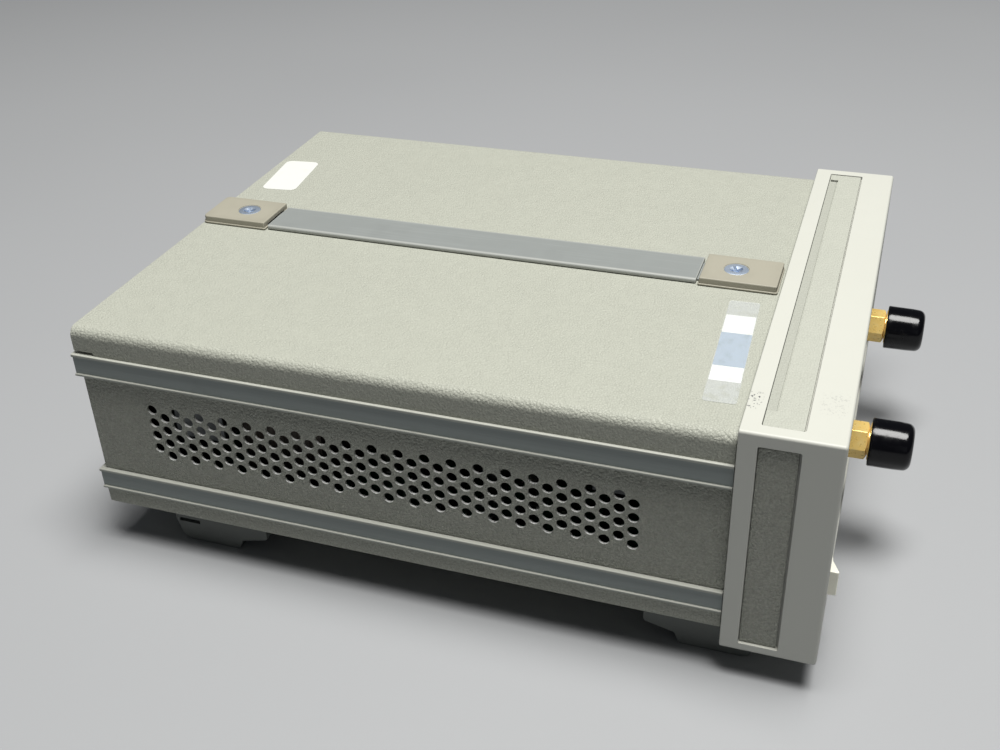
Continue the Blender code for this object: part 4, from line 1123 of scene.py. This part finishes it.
def rear_frame():
    """The rear casting, cut away for the rear panel and the rails' ends."""
    low, high = corners("rear_frame")
    half, upper, lower, play = high.x, 2.8, 1.6, 0.3
    left = [(-half + upper, high.z), (-half, high.z - upper), (-half, low.z + lower), (-half + lower, low.z)]
    outline = fillet(left + [(-x, z) for x, z in reversed(left)], 0.6)
    bm = slab("XZ", outline, REAR - 18.0, high.y, [opening("rear_panel", play, 0.6)], edge=0)
    for rail in ("upper_left_rail", "upper_right_rail", "lower_left_rail", "lower_right_rail"):
        near, far = corners(rail)
        start = (near.x - play, low.y - CLEAR, near.z - play)
        bm = boolean(bm, block(start, (far.x + play, high.y + CLEAR, far.z + play), 0))
    soften(bm, 0.3, 2, 50)
    piece("rear_casting", bm, "frame", "rear_frame")


def pan_screw(name, x, z, face):
    """A pan-head screw on the rear panel."""
    radius, cross = 2.6, 1.5
    profile = along(face, (0.0, 1.7), (radius * 0.5, 1.6), (radius * 0.85, 1.2), (radius, 0.6))
    profile += along(face, (radius, 0.05), (0.0, 0.05))
    bm = lathe(profile, (x, z), "Y", 32)
    bm = cross_cut(bm, "XZ", (x, z), 0.3, ((cross * 0.5, 0.2, face + 0.7), (cross, 0.35, face + 2.2)))
    piece(name, bm, "steel")


def rear_panel():
    """The sheet with its cutouts, and what is fixed in it."""
    low, high = corners("rear_panel")
    guard = middle("fan_guard")
    holes = [
        fillet(centred(*middle("mains_inlet"), 14.4, 10.4), 1.0),
        circle(*middle("fuse_holder"), 6.2),
        fillet(centred(*middle("interface_connector"), 26, 7), 1.0),
        circle(*middle("trigger_socket"), 5.2),
        circle(*guard, 28.0, 56),
    ]
    bm = slab("XZ", opening("rear_panel", 0, 0.6), low.y, high.y, holes, edge=0.15)
    piece("rear_plate", bm, "sheet", "rear_panel")
    inset = 4
    places = [(x, z) for z in (low.z + inset, high.z - inset) for x in (low.x + inset, high.x - inset)]
    for i, (x, z) in enumerate(places):
        pan_screw(f"panel_screw_{i + 1}", x, z, high.y)
    mains_inlet(*middle("mains_inlet"))
    fuse_holder(*middle("fuse_holder"))
    trigger_socket(*middle("trigger_socket"))
    interface_connector(*middle("interface_connector"))
    fan(guard)


def mains_inlet(x, z):
    """Moulded inlet with a chamfered three-pin socket."""
    low, high = corners("mains_inlet")
    face, floor = high.y, high.y - 20.0
    bm = slab("XZ", fillet(centred(x, z, 16, 12), 2.0), face - 2.5, face, edge=0.4)
    body = slab("XZ", fillet(centred(x, z, 14, 10), 1.5), low.y, face - 2.0, edge=0.3)
    bm = boolean(bm, body, "UNION")
    mouth = [(x - 12, z - 8), (x + 12, z - 8), (x + 12, z + 3.5), (x + 8.0, z + 8), (x - 8.0, z + 8)]
    mouth = fillet(mouth + [(x - 12, z + 3.5)], 1.2)
    bm = boolean(bm, slab("XZ", mouth, floor, face + CLEAR, edge=0))
    piece("inlet_housing", bm, "dark", "mains_inlet")
    for i, (dx, dz) in enumerate(((-7, -2.5), (7, -2.5), (0, 2.5))):
        outline = fillet(centred(x + dx, z + dz, 1, 2), 0.3)
        piece(f"inlet_pin_{i + 1}", slab("XZ", outline, floor - 1, floor + 14, edge=0.3), "steel")


def fuse_holder(x, z):
    """Round holder with a slotted, finely grooved cap."""
    low, high = corners("fuse_holder")
    tip, grooves = high.y, 16
    profile = along(tip, (0.0, 0), (4.9, 0), (5.6, -0.3), (6.0, -0.9))
    profile += along(REAR, (6.0, -2.7), (7.4, -2.7), (7.8, -3.1), (7.8, -5.7), (5.8, -5.7))
    profile += along(low.y, (5.8, 0.4), (5.4, 0), (0.0, 0))
    bm = lathe(profile, (x, z))
    bm = boolean(bm, block((x - 4.2, tip - 1.2, z - 0.6), (x + 4.2, tip + 2, z + 0.6), 0))
    for px, pz in circle(x, z, 6.15, grooves):
        bm = boolean(bm, slab("XZ", circle(px, pz, 0.38, 10), REAR - 2.2, tip - 1.0, edge=0))
    piece("fuse_cap", bm, "dark", "fuse_holder")


def trigger_socket(x, z):
    """Bayonet coaxial socket with its nut, lugs and gold centre contact."""
    tip = corners("trigger_socket")[1].y
    profile = along(REAR, (0.0, -1.0), (4.0, -1.0)) + along(tip, (4.0, -0.2), (4.2, 0), (4.7, 0), (4.9, -0.3))
    profile += along(REAR, (4.9, -3.0), (6.3, -3.0), (6.6, -3.3), (6.6, -4.4), (7.0, -4.4), (7.0, -5.7))
    profile += along(REAR, (4.8, -5.7), (4.8, -15.7), (4.5, -16.0), (0.0, -16.0))
    parts = [lathe(profile, (x, z))]
    for side in (-1, 1):
        lug = x + side * 4.6
        parts.append(block((lug - 0.9, REAR + 3.2, z - 0.9), (lug + 0.9, REAR + 5.0, z + 0.9), 0.4))
    piece("trigger_shell", merge(*parts), "steel", "trigger_socket", sharp=30)
    sleeve = along(REAR, (1.9, -0.9), (1.9, 3.4), (1.6, 3.7), (1.1, 3.7), (1.1, -0.9))
    piece("trigger_insulator", lathe(sleeve, (x, z), steps=32), "paper")
    pin = along(REAR, (0.0, 1.5), (0.5, 1.45), (0.8, 1.1), (0.8, -0.9), (0.0, -0.9))
    piece("trigger_contact", lathe(pin, (x, z), steps=24), "gold")


def trapezoid(x, z, foot, top, half_z):
    return [(x - foot, z - half_z), (x + foot, z - half_z), (x + top, z + half_z), (x - top, z + half_z)]


def interface_connector(x, z):
    """Wide trapezoid data connector with its contact blade and jack posts."""
    low, high = corners("interface_connector")
    bm = slab("XZ", fillet(centred(x, z, 33, 8.5), 1.5), REAR - 5.7, REAR - 4.2, edge=0.25)
    shell = fillet(trapezoid(x, z, 27, 24.5, 5.5), 2.2)
    hollow = fillet(trapezoid(x, z, 26.2, 23.7, 4.7), 1.6)
    bm = boolean(bm, slab("XZ", shell, REAR - 4.8, high.y, edge=0), "UNION")
    bm = boolean(bm, slab("XZ", hollow, REAR - 4.0, high.y + CLEAR, edge=0))
    body = slab("XZ", centred(x, z, 25, 6), low.y, REAR - 5.2, edge=0.3)
    bm = boolean(bm, body, "UNION")
    soften(bm, 0.15, 2, 50)
    piece("interface_shell", bm, "sheet", "interface_connector")
    blade = fillet(trapezoid(x, z, 25.4, 23.4, 4.2), 1.4)
    bm = slab("XZ", blade, REAR - 3.9, high.y - 0.6, [fillet(centred(x, z, 21, 2.4), 0.8)])
    piece("interface_insert", bm, "dark")
    contacts = []
    half, thick = 0.6, 0.12
    for i in range(12):
        cx = x - 19.2 + 3.5 * i
        for side in (-1, 1):
            cz = z + side * 2.35
            start = (cx - half, REAR - 3.7, cz - thick)
            contacts.append(block(start, (cx + half, high.y - 1.2, cz + thick), 0))
    piece("interface_contacts", merge(*contacts), "gold")
    for i, side in enumerate((-1, 1)):
        centre = (x + side * 30.0, z)
        post = along(REAR, (0.0, 0.6), (1.7, 0.6), (2.1, 0.2), (2.1, -4.1), (0.0, -4.1))
        bore = along(REAR, (0.0, -2.0), (1.1, -2.0), (1.1, 2), (0.0, 2))
        bm = boolean(lathe(post, centre, steps=28), lathe(bore, centre, steps=20))
        piece(f"interface_post_{i + 1}", bm, "steel", sharp=30)


def torus(centre, radius, wire, y, steps=64, sides=10):
    bm = bmesh.new()
    rows = []
    for i in range(steps):
        a = 2 * math.pi * i / steps
        row = []
        for u, v in circle(0, 0, wire, sides):
            r = radius + u
            x, z = centre[0] + r * math.cos(a), centre[1] + r * math.sin(a)
            row.append(bm.verts.new(place("XZ", x, z, y + v)))
        rows.append(row)
    for one, other in zip(rows, rows[1:] + rows[:1]):
        bridge(bm, one, other)
    return bm


def fan(centre):
    """A wire guard over a finger-safe fan: rings on radial bars, and swept blades on a domed hub."""
    x, z = centre
    low, high = corners("fan_guard")
    y, wire, outer = (low.y + high.y) / 2, 0.72, 30.2
    parts = [torus(centre, outer, wire, y + 0.05)]
    parts += [torus(centre, radius, wire * 0.85, y + 0.05) for radius in (24.5, 18.8, 13.1, 7.4)]
    for i in range(4):
        bar = lathe([(0.0, 6.8), (wire * 0.9, 6.8), (wire * 0.9, outer), (0.0, outer)], (0, 0), "Z", 10)
        turn = Matrix.Rotation(math.pi / 2 - math.radians(45 + 90 * i), 4, "Y")
        bmesh.ops.transform(bar, matrix=turn, verts=bar.verts[:])
        bmesh.ops.translate(bar, vec=Vector((x, y - 0.35, z)) * MM, verts=bar.verts[:])
        parts.append(bar)
    piece("fan_grille", merge(*parts), "steel", "fan_guard", sharp=60)
    low, high = corners("fan_housing")
    square = fillet(centred(x, z, 30, 30), 4.0)
    parts = [slab("XZ", square, low.y, high.y, [circle(x, z, 28.0, 56)], edge=0.5)]
    parts.append(slab("XZ", circle(x, z, 12.0, 40), low.y, low.y + 2.5, edge=0.3))
    for a in (0.6, 0.6 + 2 * math.pi / 3, 0.6 + 4 * math.pi / 3):
        arm = turned(rectangle(11.0, -1.5, 28.5, 1.5), centre, a)
        parts.append(slab("XZ", arm, low.y + 0.1, low.y + 2.4, edge=0.3))
    piece("fan_shroud", merge(*parts), "dark", "fan_housing")
    low, high = corners("fan_rotor")
    hub = along(low.y, (0.0, 0), (10.6, 0), (11.0, 0.4))
    hub += along(high.y, (11.0, -1.6), (10.6, -0.7), (9.6, -0.15), (8.0, 0), (0.0, 0))
    parts = [lathe(hub, centre)]
    blades = 7
    for i in range(blades):
        parts.append(fan_blade(centre, 2 * math.pi * i / blades, low.y + 1.5, high.y - 1.2))
    piece("fan_impeller", merge(*parts), "dark", "fan_rotor", "rotor", sharp=45)


def fan_blade(centre, angle, front, back):
    """A twisted blade, steeper and wider towards its tip."""
    x, z = centre
    rows = []
    stations, steps = 7, 8
    for i in range(stations):
        t = i / (stations - 1)
        radius = 10.5 + 15.9 * t
        sweep = 0.42 + 0.10 * t
        half = 0.55 - 0.25 * t
        lean = 0.18 * t * t
        upper, lower = [], []
        for k in range(steps + 1):
            s = k / steps
            a = angle + lean + sweep * (s - 0.5) + 0.06 * math.sin(math.pi * s)
            y = front + (back - front) * s
            thick = half * (0.35 + 0.65 * math.sin(math.pi * min(1.0, s + 0.1)))
            for side, store in ((1, upper), (-1, lower)):
                at = a + side * thick / radius
                store.append((x + radius * math.cos(at), y, z + radius * math.sin(at)))
        rows.append(upper + lower[::-1])
    return loft(rows)


# ---------------------------------------------------------------- inside


def chip(draw, x, y, base):
    """A flat package, and its legs."""
    w, d = draw.choice(((8, 3.2), (10, 3.6), (6.5, 3.0)))
    pitch, half, thick = 1.6, 0.25, 0.12
    legs = []
    for i in range(int(w / pitch)):
        px = x - w / 2 + 0.8 + pitch * i
        for side in (-1, 1):
            py = y + side * (d + 0.4)
            legs.append(block((px - half, py - thick, base), (px + half, py + thick, base + 2.4), 0))
    return block((x - w / 2, y - d, base + 0.8), (x + w / 2, y + d, base + 4.2)), legs


def capacitor(draw, x, y, base):
    """A can with a rolled groove near its foot."""
    r, h = draw.choice(((2.6, 9.0), (3.5, 12.0), (4.4, 15.0)))
    profile = [(0.0, base + h), (r - 0.6, base + h), (r, base + h - 0.6)]
    profile += along(base, (r, 1.4), (r - 0.35, 1.0), (r, 0.6), (r, 0.1), (0.0, 0.1))
    return lathe(profile, (x, y), "Z", 20)


def board_parts():
    """Chips and capacitors on the main board, which show through the perforation."""
    draw = random.Random(7)
    low, high = corners("main_board")
    clear = 9
    taken = [corners(node) for node in ("heat_sink", "signal_module", "mains_transformer")]
    chips, cans = [], []
    spots = [(x, y) for x in range(-84, 92, 14) for y in range(int(low.y) + 12, int(high.y) - 8, 15)]
    for x, y in spots:
        x, y = x + draw.uniform(-2, 2), y + draw.uniform(-2, 2)
        if any(a.x - clear < x < b.x + clear and a.y - clear < y < b.y + clear for a, b in taken):
            continue
        if draw.random() < 0.6:
            package, legs = chip(draw, x, y, high.z)
            chips.append(package)
            cans += legs
        else:
            cans.append(capacitor(draw, x, y, high.z))
    piece("board_chips", merge(*chips), "dark")
    piece("board_capacitors", merge(*cans), "steel", sharp=30)


def brackets():
    """Folded plates behind the perforation, at the rear of both sides and behind the front frame."""
    thick, width = 1.0, 9.0
    places = (("rear", (88.0, 108.0, 54.5, 71.0), 2.5), ("front", (-73.0, -49.5, 58.5, 72.0), 9.0))
    for side, sign in SIDES:
        for name, (y0, y1, z0, z1), gap in places:
            outer = sign * (corners("right_side_cover")[0].x - gap)
            near, far = sorted((outer, outer - sign * thick))
            plate = block((near, y0, z0), (far, y1, z1), 0.2)
            near, far = sorted((outer, outer - sign * width))
            flange = block((near, y0, z0), (far, y1, z0 + thick), 0.2)
            piece(f"{side}_{name}_bracket", merge(plate, flange), "bracket")


def inside():
    """Gives the CAD nodes that stay their materials, and adds what shows through the holes."""
    for look, nodes in (
        ("board", ("main_board", "keyboard_board")),
        ("sheet", ("chassis_deck", "signal_module")),
        ("iron", ("mains_transformer",)),
        ("sink", ("heat_sink",)),
        ("dark", ("display_module", "line_switch")),
        ("copper", ("sync_coax", "output_coax")),
    ):
        for node in nodes:
            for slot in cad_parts[node].material_slots:
                slot.material = LOOKS[look]
    brackets()
    board_parts()


# ---------------------------------------------------------------- stage

CAMERA_PLACE = Vector((-408.6, -131.85, 307.4)) * MM
CAMERA_TURN = (58.122, 1.647, -71.118)
CAMERA_LENS = 43.33
AIM = Vector((0.0, 0.0, 0.06))


def staged(name, data):
    """A new object in the scene."""
    made = bpy.data.objects.new(name, data)
    bpy.context.scene.collection.objects.link(made)
    return made


def lamp(name, where, size, power, colour):
    """A square soft light aimed at the instrument."""
    data = bpy.data.lights.new(name, "AREA")
    data.shape = "SQUARE"
    data.size = size
    data.energy = power
    data.color = colour
    light = staged(name, data)
    light.location = where
    light.rotation_euler = (AIM - Vector(where)).to_track_quat("-Z", "Y").to_euler()


def stage():
    """Camera, pale floor and a soft overhead light with a weak fill from the left."""
    scene = bpy.context.scene
    scene.view_settings.view_transform = "Standard"
    data = bpy.data.cameras.new("camera")
    data.lens = CAMERA_LENS
    data.sensor_width = 36.0
    scene.camera = staged("camera", data)
    scene.camera.location = CAMERA_PLACE
    scene.camera.rotation_euler = [math.radians(a) for a in CAMERA_TURN]
    bm = bmesh.new()
    bmesh.ops.create_grid(bm, x_segments=1, y_segments=1, size=6.0)
    mesh = bpy.data.meshes.new("floor")
    bm.to_mesh(mesh)
    bm.free()
    look = Look("floor_card", (0.345, 0.352, 0.36), 0.6)
    look.blotch((0.33, 0.337, 0.345), 400, 2, 0.4, 0.7, 0.5)
    mesh.materials.append(look.done())
    staged("floor", mesh)
    world = bpy.data.worlds.new("studio")
    world.use_nodes = True
    sky = world.node_tree.nodes["Background"]
    sky.inputs["Color"].default_value = (0.86, 0.92, 1.0, 1.0)
    sky.inputs["Strength"].default_value = 0.065
    scene.world = world
    lamp("key", (-0.16, -0.26, 1.9), 0.85, 60.0, (1.0, 0.99, 0.97))
    lamp("fill", (-1.3, -0.6, 0.55), 0.6, 0.2, (0.9, 0.95, 1.0))


def main():
    stage()
    front_frame()
    trim_strips()
    covers()
    rails()
    side_covers()
    feet()
    strap()
    labels()
    front_panel()
    keys()
    line_key()
    connectors()
    rear_frame()
    rear_panel()
    inside()


main()
